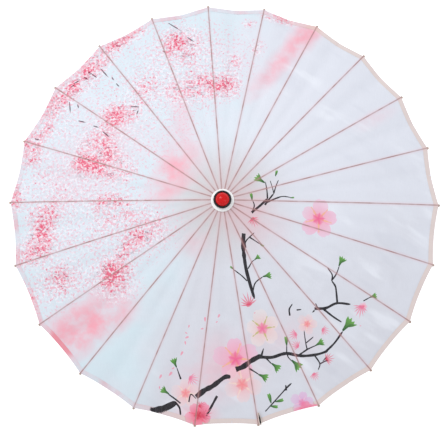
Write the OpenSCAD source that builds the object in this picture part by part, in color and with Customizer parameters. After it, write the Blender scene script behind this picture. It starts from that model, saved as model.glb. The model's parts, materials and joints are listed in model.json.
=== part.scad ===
// Oil paper umbrella: a wide, shallow canopy on slotted wooden ribs that folds down round its shaft.
// Millimetres, +Z up. The origin is on the shaft's axis, where the straight wall of the grip starts.
// A rib, its stretcher and the runner make an isosceles fold: the stretcher is as long as the rib
// is between its two pivots, so the runner slides exactly along the shaft as the ribs turn down.

/* [Ribs] */
// How many ribs carry the canopy
rib_count = 22; // [22:1:22]
// Length of a rib from its hub pivot to its tip
rib_len = 412; // [400:1:420]
// Width of a rib
rib_w = 3.4; // [3.2:0.1:3.5]
// Depth of a rib above its pivot line
rib_up = 2.8; // [2.6:0.1:2.8]
// Depth of a rib below its pivot line
rib_down = 2.2; // [2.2:0.1:2.4]
// How far the outer half of a rib bends down at its tip
rib_bend = 7; // [4:0.5:8]
// Angle of the open ribs below level
open_angle = 17; // [16:0.5:18]
// Turn of the first rib about the shaft, before the unevenness
first_rib_angle = 9; // [0:0.5:16]
// How far the hand-set ribs crowd towards one side, in degrees
crowding = 3.3; // [0:0.1:3.4]
// Direction in which a rib stands furthest ahead of an even spacing
crowding_towards = -45; // [-180:1:180]
// A second unevenness, which comes twice round the hub, in degrees
twice_round = 0.7; // [0:0.1:0.8]
// Direction of the second unevenness
twice_round_towards = 22; // [-180:1:180]

/* [Stretchers] */
// Distance between a stretcher's two pivots, and of its rib pivot from the hub pivot
stretcher_len = 186; // [184:1:188]
// Width of a stretcher
stretcher_w = 2.4; // [2.2:0.1:2.5]
// Depth of a stretcher
stretcher_d = 3.4; // [3.2:0.1:3.5]
// Width of the thin tongue that works in the rib's slot
tongue_w = 1.3; // [1.2:0.1:1.3]

/* [Hub and runner] */
// Height of the hub pivots above the origin
hub_z = 515; // [512:1:520]
// Radius of the circle of hub pivots and of runner pivots
pivot_r = 16; // [16:0.5:17]
// Radius of the slotted hub
hub_r = 21; // [20.5:0.5:22]
// Radius of the runner's slotted head
runner_r = 20; // [19.5:0.5:21]
// Length of the runner below its pivots
runner_len = 34; // [32:1:34]
// Radius of the ring wires
wire_r = 0.6; // [0.5:0.1:0.6]

/* [Shaft and grip] */
// Radius of the shaft
shaft_r = 6; // [5.8:0.1:6]
// Radius of the grip
grip_r = 11; // [10:0.5:12]
// Top of the grip above the origin
grip_top = 104; // [98:1:104]
// Length of the grip's straight wall
grip_wall = 70; // [60:1:76]

/* [Canopy and finial] */
// Distance of the hem from the hub pivots, measured along a rib
hem_len = 407; // [398:1:408]
// Thickness of the canopy
cloth_t = 0.4; // [0.4:0.1:0.5]
// Sag of the cloth halfway between two ribs
cloth_sag = 3; // [0:0.5:5]
// How far the hem pulls in halfway between two ribs
hem_scallop = 5; // [0:0.5:8]
// Width of the double hem
hem_w = 9; // [6:1:12]
// Radius of the white cap
cap_r = 21.5; // [20.5:0.5:23]
// Radius of the black finial ring
ring_r = 16.8; // [15.5:0.1:18]
// Radius of the red dome
dome_r = 12.8; // [11:0.1:13.5]

/* [Hidden] */
$fn = 64;
step_angle = 360 / rib_count;

// slots of the hub and the runner, and the necks that turn in them
neck_w = 1.8;
neck_len = 12;
slot_w = 2.2;
core_r = 12.6;
rib_head_r = 2.6;
stretcher_head_r = 1.8;
hub_down = 9;
hub_cone_up = 3.2;
hub_seat_up = 6.4;
wire_gap = 0.05;

// the slot of each rib
rib_slot_w = 1.8;
rib_slot_in = 8;
rib_slot_out = 42;
rib_slot_roof = 2.1;
tongue_len = 46;
pin_hole_r = 0.8;
notch_in = 7;
notch_w = 2;
notch_d = 0.7;
bend_from = 200;
bend_steps = 8;

// the runner
runner_z = hub_z - 2 * stretcher_len * sin(open_angle);
runner_up = 5;
runner_floor = 6;
runner_neck_r = 10;
runner_bore_r = shaft_r + 0.3;

// the shaft, from its seat in the grip up to the cap
shaft_foot = 74;
fit_gap = 0.05;
grip_foot = 3;

// the catch under the open runner
catch_z = runner_z - runner_len;
catch_hinge_down = 36;
catch_hinge_x = 3;
catch_w = 3;
catch_slot_w = 3.8;
catch_nose_x = 10.4;
catch_pin_r = 0.9;

// the cloth: steps between two ribs, and rings from the hub to the hem
cloth_lift = hub_cone_up - rib_up / cos(open_angle) + 0.62;
panel_steps = 4;
cloth_rings = 8;
cloth_in = -3.2;
lace_t = 0.8;

// the finial
cap_t = 2;
ring_h = 5;
dome_h = 9.5;
screw_r = 1.8;
screw_len = 22;

function two_digits(k) = k < 10 ? str("0", k) : str(k);
function rib_name(k) = str("rib_", two_digits(k));
function stretcher_name(k) = str("stretcher_", two_digits(k));

// direction of a rib, or of a place between two ribs, counted from rib 1
function even_angle(k) = first_rib_angle + (k - 1) * step_angle;
function rib_angle(k) = even_angle(k)
    + crowding * cos(even_angle(k) - crowding_towards)
    + twice_round * cos(2 * (even_angle(k) - twice_round_towards));

// drop of a rib's centre line below a straight line, at a distance along it
function bend_at(along) = along < bend_from ? 0
    : rib_bend * pow((along - bend_from) / (rib_len - bend_from), 2);

// height on the cone that the canopy and the hub's top follow
function cone_z(r, up) = hub_z + up - (r - pivot_r) * tan(open_angle);

// radius and height of a point given along a rib and square to it
function rib_plane(along, up) = [
    pivot_r + along * cos(open_angle) + up * sin(open_angle),
    hub_z - along * sin(open_angle) + up * cos(open_angle)];

module at_pivot(k, z) {
    rotate([0, 0, rib_angle(k)]) translate([pivot_r, 0, z]) children();
}

// a bar of one width, with its outline in the XZ plane
module bar(w) {
    rotate([90, 0, 0]) linear_extrude(w, center = true) children();
}

// a straight pin along Y
module cross_pin(r, len) {
    rotate([90, 0, 0]) cylinder(r = r, h = len, center = true);
}

module rib(k) {
    outer = [for (i = [0 : bend_steps]) bend_from + (rib_len - bend_from) * i / bend_steps];
    top = [for (s = outer) [s, rib_up - bend_at(s)]];
    foot = [for (i = [bend_steps : -1 : 0]) [outer[i], -rib_down - bend_at(outer[i])]];
    color("burlywood") at_pivot(k, hub_z) rotate([0, open_angle, 0]) difference() {
        union() {
            bar(rib_w) polygon(concat([[neck_len, -rib_down], [neck_len, rib_up]], top, foot));
            bar(neck_w) polygon([[0, -rib_down], [neck_len + 1, -rib_down], [neck_len + 1, rib_up],
                                 [1, rib_up - 0.4], [0, rib_head_r - 0.2]]);
            cross_pin(rib_head_r, neck_w);
        }
        cross_pin(pin_hole_r, rib_w);
        // slot for the stretcher's tongue, open below
        translate([stretcher_len - rib_slot_in, -rib_slot_w / 2, -rib_down - 1])
            cube([rib_slot_in + rib_slot_out, rib_slot_w, rib_down + 1 + rib_slot_roof]);
        translate([stretcher_len, 0, 0]) cross_pin(pin_hole_r, rib_w + 2);
        // notch for the hem's thread
        translate([hem_len - notch_in, -rib_w, rib_up - bend_at(hem_len - notch_in) - notch_d])
            cube([notch_w, 2 * rib_w, notch_d + 1]);
    }
}

module stretcher(k) {
    d = stretcher_d / 2;
    color("tan") at_pivot(k, runner_z) rotate([0, -open_angle, 0]) difference() {
        union() {
            bar(stretcher_w) polygon([[neck_len, -d], [stretcher_len - tongue_len, -d],
                                      [stretcher_len - tongue_len, d], [neck_len, d]]);
            bar(neck_w) polygon([[0, -d], [neck_len + 1, -d], [neck_len + 1, d], [0, d]]);
            translate([stretcher_len - tongue_len - 1, 0, 0])
                bar(tongue_w) polygon([[0, -d], [tongue_len + 1, -d], [tongue_len + 1, d], [0, d]]);
            cross_pin(stretcher_head_r, neck_w);
            translate([stretcher_len, 0, 0]) cross_pin(stretcher_head_r, tongue_w);
        }
        cross_pin(pin_hole_r, rib_w);
        translate([stretcher_len, 0, 0]) cross_pin(pin_hole_r, rib_w);
    }
}

// one radial slot for each rib, cut from the core outwards
module radial_slots(z, low, high) {
    for (k = [1 : rib_count])
        at_pivot(k, z) translate([core_r - pivot_r, -slot_w / 2, low])
            cube([hub_r, slot_w, high - low]);
}

module ring_wire(z, r) {
    translate([0, 0, z]) rotate_extrude() translate([pivot_r, 0]) circle(r = r, $fn = 32);
}

module top_hub() {
    seat = hub_z + hub_seat_up;
    color("wheat") difference() {
        rotate_extrude() polygon([
            [shaft_r + fit_gap, hub_z - hub_down - 12], [core_r - 3, hub_z - hub_down - 12],
            [core_r - 1, hub_z - hub_down - 3], [hub_r - 2, hub_z - hub_down], [hub_r, hub_z - hub_down + 2],
            [hub_r, cone_z(hub_r, hub_cone_up)], [core_r, cone_z(core_r, hub_cone_up)],
            [core_r - 0.4, seat], [shaft_r + fit_gap, seat]]);
        radial_slots(hub_z, -hub_down - 4, hub_seat_up);
        ring_wire(hub_z, wire_r + wire_gap);
    }
}

module hub_wire() {
    color("silver") ring_wire(hub_z, wire_r);
}

module runner() {
    foot = runner_z - runner_len;
    floor_z = runner_z - runner_floor - 4;
    color("wheat") difference() {
        rotate_extrude() polygon([
            [runner_bore_r, foot], [runner_neck_r - 0.6, foot], [runner_neck_r, foot + 0.6],
            [runner_neck_r, floor_z - 6], [runner_r - 2, floor_z], [runner_r, floor_z + 2],
            [runner_r, runner_z + runner_up], [core_r, runner_z + runner_up],
            [core_r - 1, runner_z + runner_up + 3], [runner_bore_r, runner_z + runner_up + 3]]);
        radial_slots(runner_z, -runner_floor + 3, runner_up + 4);
        ring_wire(runner_z, wire_r + wire_gap);
    }
}

module runner_wire() {
    color("silver") ring_wire(runner_z, wire_r);
}

module shaft() {
    hinge_z = catch_z - catch_hinge_down;
    top = hub_z + hub_seat_up;
    color("burlywood") difference() {
        translate([0, 0, shaft_foot]) cylinder(r = shaft_r, h = top - shaft_foot);
        // slot that the catch lever turns in
        translate([-2.6, -catch_slot_w / 2, hinge_z - 4])
            cube([shaft_r + 4, catch_slot_w, catch_hinge_down + 8]);
        translate([catch_hinge_x, 0, hinge_z]) cross_pin(catch_pin_r + 0.02, 2 * shaft_r);
        // pilot hole for the finial's screw
        translate([0, 0, top - screw_len]) cylinder(r = screw_r + fit_gap, h = screw_len + 1);
    }
}

module grip() {
    color("burlywood") difference() {
        rotate_extrude() union() {
            polygon([[0, -grip_foot], [grip_r - grip_foot, -grip_foot], [grip_r - grip_foot, 0],
                     [grip_r, 0], [grip_r, grip_wall], [grip_r - 2.5, grip_top - 3],
                     [grip_r - 3.5, grip_top], [0, grip_top]]);
            intersection() {
                translate([grip_r - grip_foot, 0]) circle(r = grip_foot, $fn = 32);
                translate([0, -grip_foot]) square([grip_r, grip_foot]);
            }
        }
        translate([0, 0, shaft_foot]) cylinder(r = shaft_r + fit_gap, h = grip_top);
    }
}

module catch_lever() {
    high = catch_hinge_down - 0.4;
    color("silver") translate([catch_hinge_x, 0, catch_z - catch_hinge_down]) difference() {
        union() {
            bar(catch_w) polygon([
                [-0.9, 0], [0.9, 0], [2.4, 5], [2.6, 20], [catch_nose_x - catch_hinge_x, high - 2.6],
                [catch_nose_x - catch_hinge_x, high - 1], [2, high], [0, high - 1], [0, 8]]);
            cross_pin(2, catch_w);
        }
        cross_pin(catch_pin_r + 0.06, catch_w + 1);
    }
}

module catch_pin() {
    color("silver") translate([catch_hinge_x, 0, catch_z - catch_hinge_down])
        cross_pin(catch_pin_r, 2 * (shaft_r - 1.2));
}

// a point of the cloth: a distance along the ribs, a share of the way from one rib to the next,
// the number of the panel's first rib and the height above the ribs
function cloth_point(along, share, panel, up) =
    let (
        bow = 4 * share * (1 - share),
        reach = max(0, along) / hem_len,
        p = rib_plane(along, rib_up - bend_at(along) + up),
        wide = rib_angle(panel + 1) - rib_angle(panel),
        chord = cos(wide / 2) / cos(wide * (share - 0.5)),
        r = p[0] * chord - hem_scallop * bow * pow(reach, 6),
        angle = rib_angle(panel) + share * wide
    )
    [r * cos(angle), r * sin(angle), p[1] - cloth_sag * bow * reach];

// a closed sheet of cloth between two distances along the ribs
module cloth(from, to, rings, up, t) {
    across = rib_count * panel_steps;
    side = (rings + 1) * across;
    points = [for (lift = [up, up + t]) for (i = [0 : rings]) for (j = [0 : across - 1])
        cloth_point(from + (to - from) * i / rings, j % panel_steps / panel_steps,
                    1 + floor(j / panel_steps), lift)];
    strips = [for (i = [0 : rings - 1]) for (j = [0 : across - 1])
        let (a = i * across + j, b = i * across + (j + 1) % across) [a, b, b + across, a + across]];
    edges = [for (i = [0, rings]) for (j = [0 : across - 1])
        let (a = i * across + j, b = i * across + (j + 1) % across)
        i == 0 ? [a, a + side, b + side, b] : [a, b, b + side, a + side]];
    polyhedron(points, concat(
        [for (f = strips) for (t = [[f[0], f[1], f[2]], [f[0], f[2], f[3]]]) t],
        [for (f = strips) for (t = [[f[0], f[2], f[1]], [f[0], f[3], f[2]]]) [for (v = t) v + side]],
        [for (f = edges) for (t = [[f[0], f[1], f[2]], [f[0], f[2], f[3]]]) t]), convexity = 6);
}

module canopy() {
    color("mistyrose") cloth(cloth_in, hem_len, cloth_rings, cloth_lift, cloth_t);
}

module canopy_hem() {
    color("pink") cloth(hem_len - hem_w, hem_len, 1, cloth_lift + cloth_t + 0.05, 0.3);
}

// the thread that laces the ribs to the stretchers runs straight from joint to joint
module lacing_thread() {
    joint = rib_plane(stretcher_len, 0);
    color("crimson") translate([0, 0, joint[1] - lace_t / 2]) linear_extrude(lace_t) difference() {
        lace_outline(joint[0] + lace_t / 2);
        lace_outline(joint[0] - lace_t / 2);
    }
}

module lace_outline(r) {
    polygon([for (k = [1 : rib_count]) r * [cos(rib_angle(k)), sin(rib_angle(k))]]);
}

module cap() {
    up = hub_cone_up + 1.4;
    seat = hub_z + hub_seat_up;
    color("white") rotate_extrude() polygon([
        [screw_r + 0.2, seat], [core_r, seat], [core_r + 1, cone_z(core_r, up + 0.4)],
        [cap_r, cone_z(cap_r, up)], [cap_r, cone_z(cap_r, up + 1)], [cap_r - 1, cone_z(cap_r, up + cap_t)],
        [core_r + 2, seat + cap_t], [screw_r + 0.2, seat + cap_t]]);
}

module finial_ring() {
    low = hub_z + hub_seat_up + cap_t;
    color("black") translate([0, 0, low]) rotate_extrude() difference() {
        union() {
            square([ring_r - 1.5, ring_h]);
            translate([0, 1.5]) square([ring_r, ring_h - 3]);
            for (y = [1.5, ring_h - 1.5]) translate([ring_r - 1.5, y]) circle(r = 1.5, $fn = 32);
        }
        translate([-1, -1]) square([screw_r + 1.2, ring_h + 2]);
        translate([-1, ring_h - 2]) square([dome_r + 1.05, ring_h]);
    }
}

module finial_dome() {
    low = hub_z + hub_seat_up + cap_t + ring_h - 2;
    round_r = (pow(dome_r, 2) + pow(dome_h, 2)) / (2 * dome_h);
    color("red") difference() {
        translate([0, 0, low]) rotate_extrude() union() {
            square([dome_r, 2.2]);
            intersection() {
                translate([0, 2.2 + dome_h - round_r]) circle(r = round_r, $fn = 96);
                translate([0, 2.1]) square([dome_r, dome_h + 1]);
            }
        }
        translate([0, 0, low - 1]) cylinder(r = screw_r + fit_gap, h = 5);
    }
}

module finial_screw() {
    low = hub_z + hub_seat_up - screw_len + 1;
    high = hub_z + hub_seat_up + cap_t + ring_h - 2 + 3.6;
    color("silver") translate([0, 0, low]) cylinder(r = screw_r, h = high - low);
}

for (k = [1 : rib_count]) {
    rib(k);
    stretcher(k);
}
shaft();
grip();
top_hub();
hub_wire();
canopy();
canopy_hem();
lacing_thread();
runner();
runner_wire();
catch_lever();
catch_pin();
cap();
finial_ring();
finial_dome();
finial_screw();
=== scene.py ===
"""An oil paper umbrella: printed canopy, hem, ribs, shaft and finial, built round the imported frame."""

import json
import math

import bmesh
import bpy
import numpy as np
from mathutils import Matrix, Vector, noise
from mathutils.geometry import delaunay_2d_cdt

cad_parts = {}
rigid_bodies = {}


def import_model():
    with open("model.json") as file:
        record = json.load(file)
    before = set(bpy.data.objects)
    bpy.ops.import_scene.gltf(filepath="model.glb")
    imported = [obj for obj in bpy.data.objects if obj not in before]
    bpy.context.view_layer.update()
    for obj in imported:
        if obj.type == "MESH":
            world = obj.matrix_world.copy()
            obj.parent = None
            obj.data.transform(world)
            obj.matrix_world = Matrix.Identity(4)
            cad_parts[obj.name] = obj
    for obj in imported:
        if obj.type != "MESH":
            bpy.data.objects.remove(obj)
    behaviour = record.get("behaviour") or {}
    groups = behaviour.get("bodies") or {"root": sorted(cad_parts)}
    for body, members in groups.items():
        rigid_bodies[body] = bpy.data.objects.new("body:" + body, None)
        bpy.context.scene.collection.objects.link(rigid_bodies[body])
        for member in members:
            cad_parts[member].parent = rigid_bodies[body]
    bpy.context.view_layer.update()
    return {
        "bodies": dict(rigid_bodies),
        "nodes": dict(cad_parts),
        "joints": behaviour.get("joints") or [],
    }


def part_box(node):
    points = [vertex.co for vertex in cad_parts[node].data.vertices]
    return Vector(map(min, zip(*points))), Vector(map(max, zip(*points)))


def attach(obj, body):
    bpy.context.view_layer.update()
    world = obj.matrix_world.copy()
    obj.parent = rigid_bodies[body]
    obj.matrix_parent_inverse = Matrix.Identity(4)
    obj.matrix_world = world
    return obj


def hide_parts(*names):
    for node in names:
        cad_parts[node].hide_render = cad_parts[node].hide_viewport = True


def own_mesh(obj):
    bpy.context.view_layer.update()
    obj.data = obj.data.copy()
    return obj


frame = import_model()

bl_info = {
    "name": "Oil paper umbrella",
    "version": (1, 0, 0),
    "blender": (4, 5, 0),
    "location": "View3D > Sidebar > Umbrella",
    "description": "Builds the printed canopy, the fittings and the finial of a folding parasol",
    "category": "Add Mesh",
}

MM = 0.001
UP = np.array([0.0, 0.0, 1.0])

# ---------------------------------------------------------------- measures taken from the frame

JOINTS = {joint["child"]: joint for joint in frame["joints"]}
RIBS = sorted(name for name in frame["bodies"] if name.startswith("rib_"))
STRETCHERS = sorted(name for name in frame["bodies"] if name.startswith("stretcher_"))


def heading(body):
    """Direction of a rib's plane about the shaft, in radians."""
    x, y, _ = JOINTS[body]["pos_m"]
    return math.atan2(y, x)


HEADINGS = np.unwrap([heading(rib) for rib in RIBS])
HUB_R = math.hypot(*JOINTS[RIBS[0]]["pos_m"][:2])
HUB_Z = JOINTS[RIBS[0]]["pos_m"][2]
LACE_R = math.hypot(*JOINTS[STRETCHERS[0]]["pos_m"][:2])
LACE_Z = JOINTS[STRETCHERS[0]]["pos_m"][2]
OPEN = math.atan2(HUB_Z - LACE_Z, LACE_R - HUB_R)

# the rib's own form, as the frame's ribs have it
RIB_BACK = 2.8 * MM
RIB_BEND = 7 * MM
RIB_BEND_FROM = 200 * MM
RIB_LEN = 412 * MM
HEM_ALONG = 408.5 * MM
RIB_W = 3.4 * MM
RIB_DEPTH = 5.0 * MM

# the ring of cloth under the cap, and where the strips over the ribs begin
CROWN_IN = 13.2 * MM
CROWN_OUT = 17.3 * MM
STRIPS_FROM = 17.0 * MM
CLOTH_FROM = (STRIPS_FROM - HUB_R) / math.cos(OPEN)

# the rib with the closing tab beside its tip
TAB_RIB = RIBS.index("rib_17")


# ---------------------------------------------------------------- settings a user would change


def length(name, description, default):
    return bpy.props.FloatProperty(name=name, description=description, default=default, unit="LENGTH")


def colour(name, description, default):
    return bpy.props.FloatVectorProperty(
        name=name, description=description, default=default, subtype="COLOR", min=0.0, max=1.0)


def share(name, description, default):
    return bpy.props.FloatProperty(
        name=name, description=description, default=default, subtype="FACTOR", min=0.0, max=1.0)


def angle(name, description, default):
    return bpy.props.FloatProperty(
        name=name, description=description, default=math.radians(default), subtype="ANGLE")


class CanopySettings(bpy.types.PropertyGroup):
    gap: length("Gap", "Height of the cloth above the ribs' backs", 0.5 * MM)
    thickness: length("Thickness", "Thickness of the oiled cloth", 0.28 * MM)
    sag: length("Sag", "Sag of a panel halfway between two ribs, at the hem", 3.0 * MM)
    level_band: length("Level band", "How far the cloth lies level on each side of a rib", 20 * MM)
    scallop: length("Scallop", "How far the hem pulls in between two ribs", 3.5 * MM)
    ridge: length("Ridge", "Height of the ridge that each rib presses into the cloth", 0.35 * MM)
    wrinkle: length("Wrinkle", "Height of the soft wrinkles in the panels", 1.9 * MM)
    hem_width: length("Hem width", "Width of the turned hem", 9 * MM)
    row_step: length("Row step", "Distance between the mesh's rows", 6 * MM)


class PrintSettings(bpy.types.PropertyGroup):
    turn: angle("Turn", "Turn of the printed picture about the shaft", -6.5)
    sky: colour("Sky", "Ground colour behind the blossom clouds", (0.60, 0.71, 0.76))
    pearl: colour("Pearl", "Ground colour of the plain side", (0.675, 0.69, 0.75))
    # painted shade: the plain ground is darker towards the foot of the picture
    foot_shade: colour("Foot shade", "Ground colour darkened by painted shade at the foot of the picture", (0.62, 0.625, 0.675))
    # painted shade: the cloth round the cap is darkened where the ribs crowd together
    shade_round_cap: colour("Shade round the cap", "Painted shade: darker warm grey on the cloth round the cap", (0.54, 0.49, 0.49))
    blush: colour("Blush", "Soft pink washes", (0.83, 0.33, 0.40))
    haze: colour("Haze", "Pale pink between the specks", (0.74, 0.50, 0.58))
    petal_pink: colour("Petal pink", "Light specks of the blossom clouds", (0.80, 0.20, 0.30))
    deep_pink: colour("Deep pink", "Dark specks of the blossom clouds", (0.70, 0.045, 0.12))
    # the glue line along each rib, with the rib's painted shadow through the cloth
    rib_glue_and_shadow: colour("Rib line and shadow", "Glue line along the ribs and their painted shadow through the cloth", (0.30, 0.19, 0.17))
    hem_pink: colour("Hem pink", "Hem on the side of the blossom clouds", (0.74, 0.25, 0.30))
    hem_cream: colour("Hem cream", "Hem on the plain side", (0.68, 0.55, 0.50))
    bark: colour("Bark", "Branches", (0.005, 0.004, 0.006))
    leaf_dark: colour("Leaf, dark", "Foot of a leaf", (0.004, 0.055, 0.014))
    leaf_light: colour("Leaf, light", "Tip of a leaf", (0.14, 0.39, 0.06))


class WoodSettings(bpy.types.PropertyGroup):
    rib: colour("Rib wood", "Ribs and stretchers", (0.50, 0.30, 0.15))
    shaft: colour("Shaft wood", "Shaft and grip", (0.52, 0.31, 0.15))
    hub: colour("Hub wood", "Turned hub and runner", (0.60, 0.42, 0.24))
    thread: colour("Thread", "Lacing and bindings", (0.50, 0.035, 0.05))


class FinialSettings(bpy.types.PropertyGroup):
    dome: colour("Dome", "Red dome", (0.56, 0.0, 0.001))
    ring: colour("Ring", "Black ring", (0.004, 0.001, 0.002))
    cap: colour("Cap", "White cap", (0.86, 0.85, 0.84))


class StageSettings(bpy.types.PropertyGroup):
    elevation: angle("Elevation", "Height of the camera above the horizon", 78.9)
    roll: angle("Roll", "Roll of the camera", -6.5)
    distance: length("Distance", "Distance from the camera to the rim's centre", 4.9)
    drop: length("Drop", "How far the view's middle lies below the rim's centre", 12.9 * MM)
    rim_share: share("Rim share", "Share of the view's width that the rim fills", 0.9634)
    floor: colour("Floor", "Colour of the floor", (0.93, 0.93, 0.93))
    glow: share("Glow", "Light that the floor gives of its own", 0.35)


# ---------------------------------------------------------------- shared shader work


class Nodes:
    """Shorthand for one node tree: each call adds a node and returns what it puts out."""

    def __init__(self, tree):
        self.tree = tree

    def make(self, kind, inputs=None, **settings):
        node = self.tree.nodes.new("ShaderNode" + kind)
        for name, value in settings.items():
            setattr(node, name, value)
        for key, value in (inputs or {}).items():
            if isinstance(value, bpy.types.NodeSocket):
                self.tree.links.new(value, node.inputs[key])
            else:
                node.inputs[key].default_value = value
        return node

    def math(self, operation, *values):
        return self.make("Math", dict(enumerate(values)), operation=operation).outputs[0]

    def times(self, a, b):
        return self.math("MULTIPLY", a, b)

    def plus(self, a, b):
        return self.math("ADD", a, b)

    def minus(self, a, b):
        return self.math("SUBTRACT", a, b)

    def ramp(self, value, low, high):
        inputs = {"Value": value, "From Min": low, "From Max": high}
        return self.make("MapRange", inputs).outputs[0]

    def step(self, value, low, high, to_low=0.0, to_high=1.0):
        inputs = {"Value": value, "From Min": low, "From Max": high, "To Min": to_low, "To Max": to_high}
        return self.make("MapRange", inputs, interpolation_type="SMOOTHSTEP").outputs[0]

    def mix(self, factor, a, b):
        node = self.make("Mix", data_type="RGBA")
        for key, value in ((0, factor), (6, a), (7, b)):
            if isinstance(value, bpy.types.NodeSocket):
                self.tree.links.new(value, node.inputs[key])
            else:
                node.inputs[key].default_value = (*value, 1.0) if key else value
        return node.outputs[2]

    def noise(self, vector, scale, detail=3.0, rough=0.55):
        inputs = {"Vector": vector, "Scale": scale, "Detail": detail, "Roughness": rough}
        return self.make("TexNoise", inputs).outputs[0]

    def mapped(self, vector, kind="POINT", **inputs):
        return self.make("Mapping", {"Vector": vector, **inputs}, vector_type=kind).outputs[0]

    def split(self, vector):
        return self.make("SeparateXYZ", {0: vector}).outputs

    def joined(self, x, y, z=0.0):
        return self.make("CombineXYZ", {0: x, 1: y, 2: z}).outputs[0]

    def attribute(self, name, out="Color"):
        return self.make("Attribute", attribute_name=name).outputs[out]

    def group(self, tree, inputs=None):
        return self.make("Group", inputs, node_tree=tree).outputs

    def bump(self, height, strength, distance, normal=None):
        inputs = {"Height": height, "Strength": strength, "Distance": distance}
        if normal is not None:
            inputs["Normal"] = normal
        return self.make("Bump", inputs).outputs[0]


def group_tree(name, inputs, outputs):
    """A node group with named sockets, or None for its nodes if it is there already."""
    if name in bpy.data.node_groups:
        return bpy.data.node_groups[name], None, None, None
    tree = bpy.data.node_groups.new(name, "ShaderNodeTree")
    for label, kind, default in inputs:
        socket = tree.interface.new_socket(label, in_out="INPUT", socket_type="NodeSocket" + kind)
        if default is not None:
            socket.default_value = default
    for label, kind in outputs:
        tree.interface.new_socket(label, in_out="OUTPUT", socket_type="NodeSocket" + kind)
    start = tree.nodes.new("NodeGroupInput")
    end = tree.nodes.new("NodeGroupOutput")
    return tree, Nodes(tree), start.outputs, end.inputs


def weave_group():
    """Plain weave: the height of crossing threads and a faint tone from thread to thread."""
    tree, n, given, out = group_tree(
        "weave", [("Vector", "Vector", None), ("Threads", "Float", 1100.0)],
        [("Height", "Float"), ("Tone", "Float")])
    if n:
        x, y, _ = n.split(given["Vector"])
        waves = [n.math("SINE", n.times(axis, given["Threads"])) for axis in (x, y)]
        n.tree.links.new(n.times(*waves), out["Height"])
        slubs = n.mapped(given["Vector"], Scale=(900.0, 60.0, 1.0))
        n.tree.links.new(n.noise(slubs, 1.0, 2.0), out["Tone"])
    return tree


def speckle_group():
    """Blossom clouds: masks of light specks, dark specks, white flecks and dark twigs."""
    tree, n, given, out = group_tree(
        "blossom specks", [("Vector", "Vector", None), ("Density", "Float", 0.0)],
        [("Light", "Float"), ("Deep", "Float"), ("White", "Float"), ("Twig", "Float")])
    if n:
        vector, density = given["Vector"], given["Density"]
        patches = n.noise(vector, 20.0, 4.0, 0.65)
        rough_density = n.times(density, n.step(patches, 0.32, 0.62, 0.30, 1.35))
        there = n.step(density, 0.02, 0.16)
        curls = n.noise(vector, 190.0, 2.0, 0.65)
        light_from = n.minus(0.60, n.times(rough_density, 0.20))
        light = n.ramp(curls, light_from, n.plus(light_from, 0.04))
        n.tree.links.new(n.times(light, there), out["Light"])
        spots = n.noise(n.mapped(vector, Location=(3.1, 1.7, 0.0)), 170.0, 3.0, 0.7)
        deep_from = n.minus(0.70, n.times(rough_density, 0.20))
        deep = n.ramp(spots, deep_from, n.plus(deep_from, 0.035))
        n.tree.links.new(n.times(deep, there), out["Deep"])
        flecks = n.noise(n.mapped(vector, Location=(7.3, 5.9, 0.0)), 200.0, 2.0, 0.6)
        white = n.times(n.step(flecks, 0.535, 0.575), n.step(density, 0.12, 0.4))
        n.tree.links.new(white, out["White"])
        slanting = n.mapped(vector, Rotation=(0.0, 0.0, 0.7), Scale=(60.0, 240.0, 1.0))
        lines = n.noise(slanting, 1.0, 2.0, 0.5)
        line = n.step(n.math("ABSOLUTE", n.minus(lines, 0.5)), 0.008, 0.034, 1.0, 0.0)
        where = n.step(n.noise(vector, 75.0, 2.0), 0.50, 0.58)
        twig = n.times(n.times(line, where), n.step(density, 0.35, 0.75))
        n.tree.links.new(twig, out["Twig"])
    return tree


def grain_group():
    """Straight wood grain: Fine is its scale across the bar, and Long its scale along it."""
    tree, n, given, out = group_tree(
        "straight grain",
        [("Vector", "Vector", None), ("Fine", "Float", 900.0), ("Long", "Float", 14.0)],
        [("Grain", "Float"), ("Band", "Float")])
    if n:
        across_x, across_y, along = n.split(given["Vector"])
        fine = n.joined(n.times(across_x, given["Fine"]), n.times(across_y, given["Fine"]),
                        n.times(along, given["Long"]))
        n.tree.links.new(n.noise(fine, 1.0, 4.0, 0.6), out["Grain"])
        broad = n.joined(n.times(across_x, 160.0), n.times(across_y, 160.0), n.times(along, 5.0))
        n.tree.links.new(n.noise(broad, 1.0, 2.0, 0.5), out["Band"])
    return tree


def wear_group():
    """Handling wear: soft smudges and small scratches, as one mask each."""
    tree, n, given, out = group_tree(
        "handling wear", [("Vector", "Vector", None), ("Size", "Float", 30.0)],
        [("Smudge", "Float"), ("Scratch", "Float")])
    if n:
        n.tree.links.new(n.step(n.noise(given["Vector"], given["Size"], 4.0), 0.35, 0.75), out["Smudge"])
        long_way = n.mapped(given["Vector"], Scale=(1400.0, 90.0, 500.0), Rotation=(0.3, 0.5, 0.9))
        n.tree.links.new(n.step(n.noise(long_way, 1.0, 1.0), 0.66, 0.74), out["Scratch"])
    return tree


def new_material(name):
    """An empty node material, its Nodes and its Principled shader."""
    material = bpy.data.materials.new(name)
    material.use_nodes = True
    tree = material.node_tree
    tree.nodes.clear()
    shader = tree.nodes.new("ShaderNodeBsdfPrincipled")
    end = tree.nodes.new("ShaderNodeOutputMaterial")
    tree.links.new(shader.outputs[0], end.inputs[0])
    return material, Nodes(tree), shader


def toned(rgb, strength):
    """A darker or paler tone of a colour."""
    return tuple(min(1.0, strength * c) for c in rgb)


def feed(n, shader, colour_out, rough_out, normal_out=None):
    """Links what changes over the surface to the shader."""
    n.tree.links.new(colour_out, shader.inputs["Base Color"])
    n.tree.links.new(rough_out, shader.inputs["Roughness"])
    if normal_out is not None:
        n.tree.links.new(normal_out, shader.inputs["Normal"])


# ---------------------------------------------------------------- materials


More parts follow.
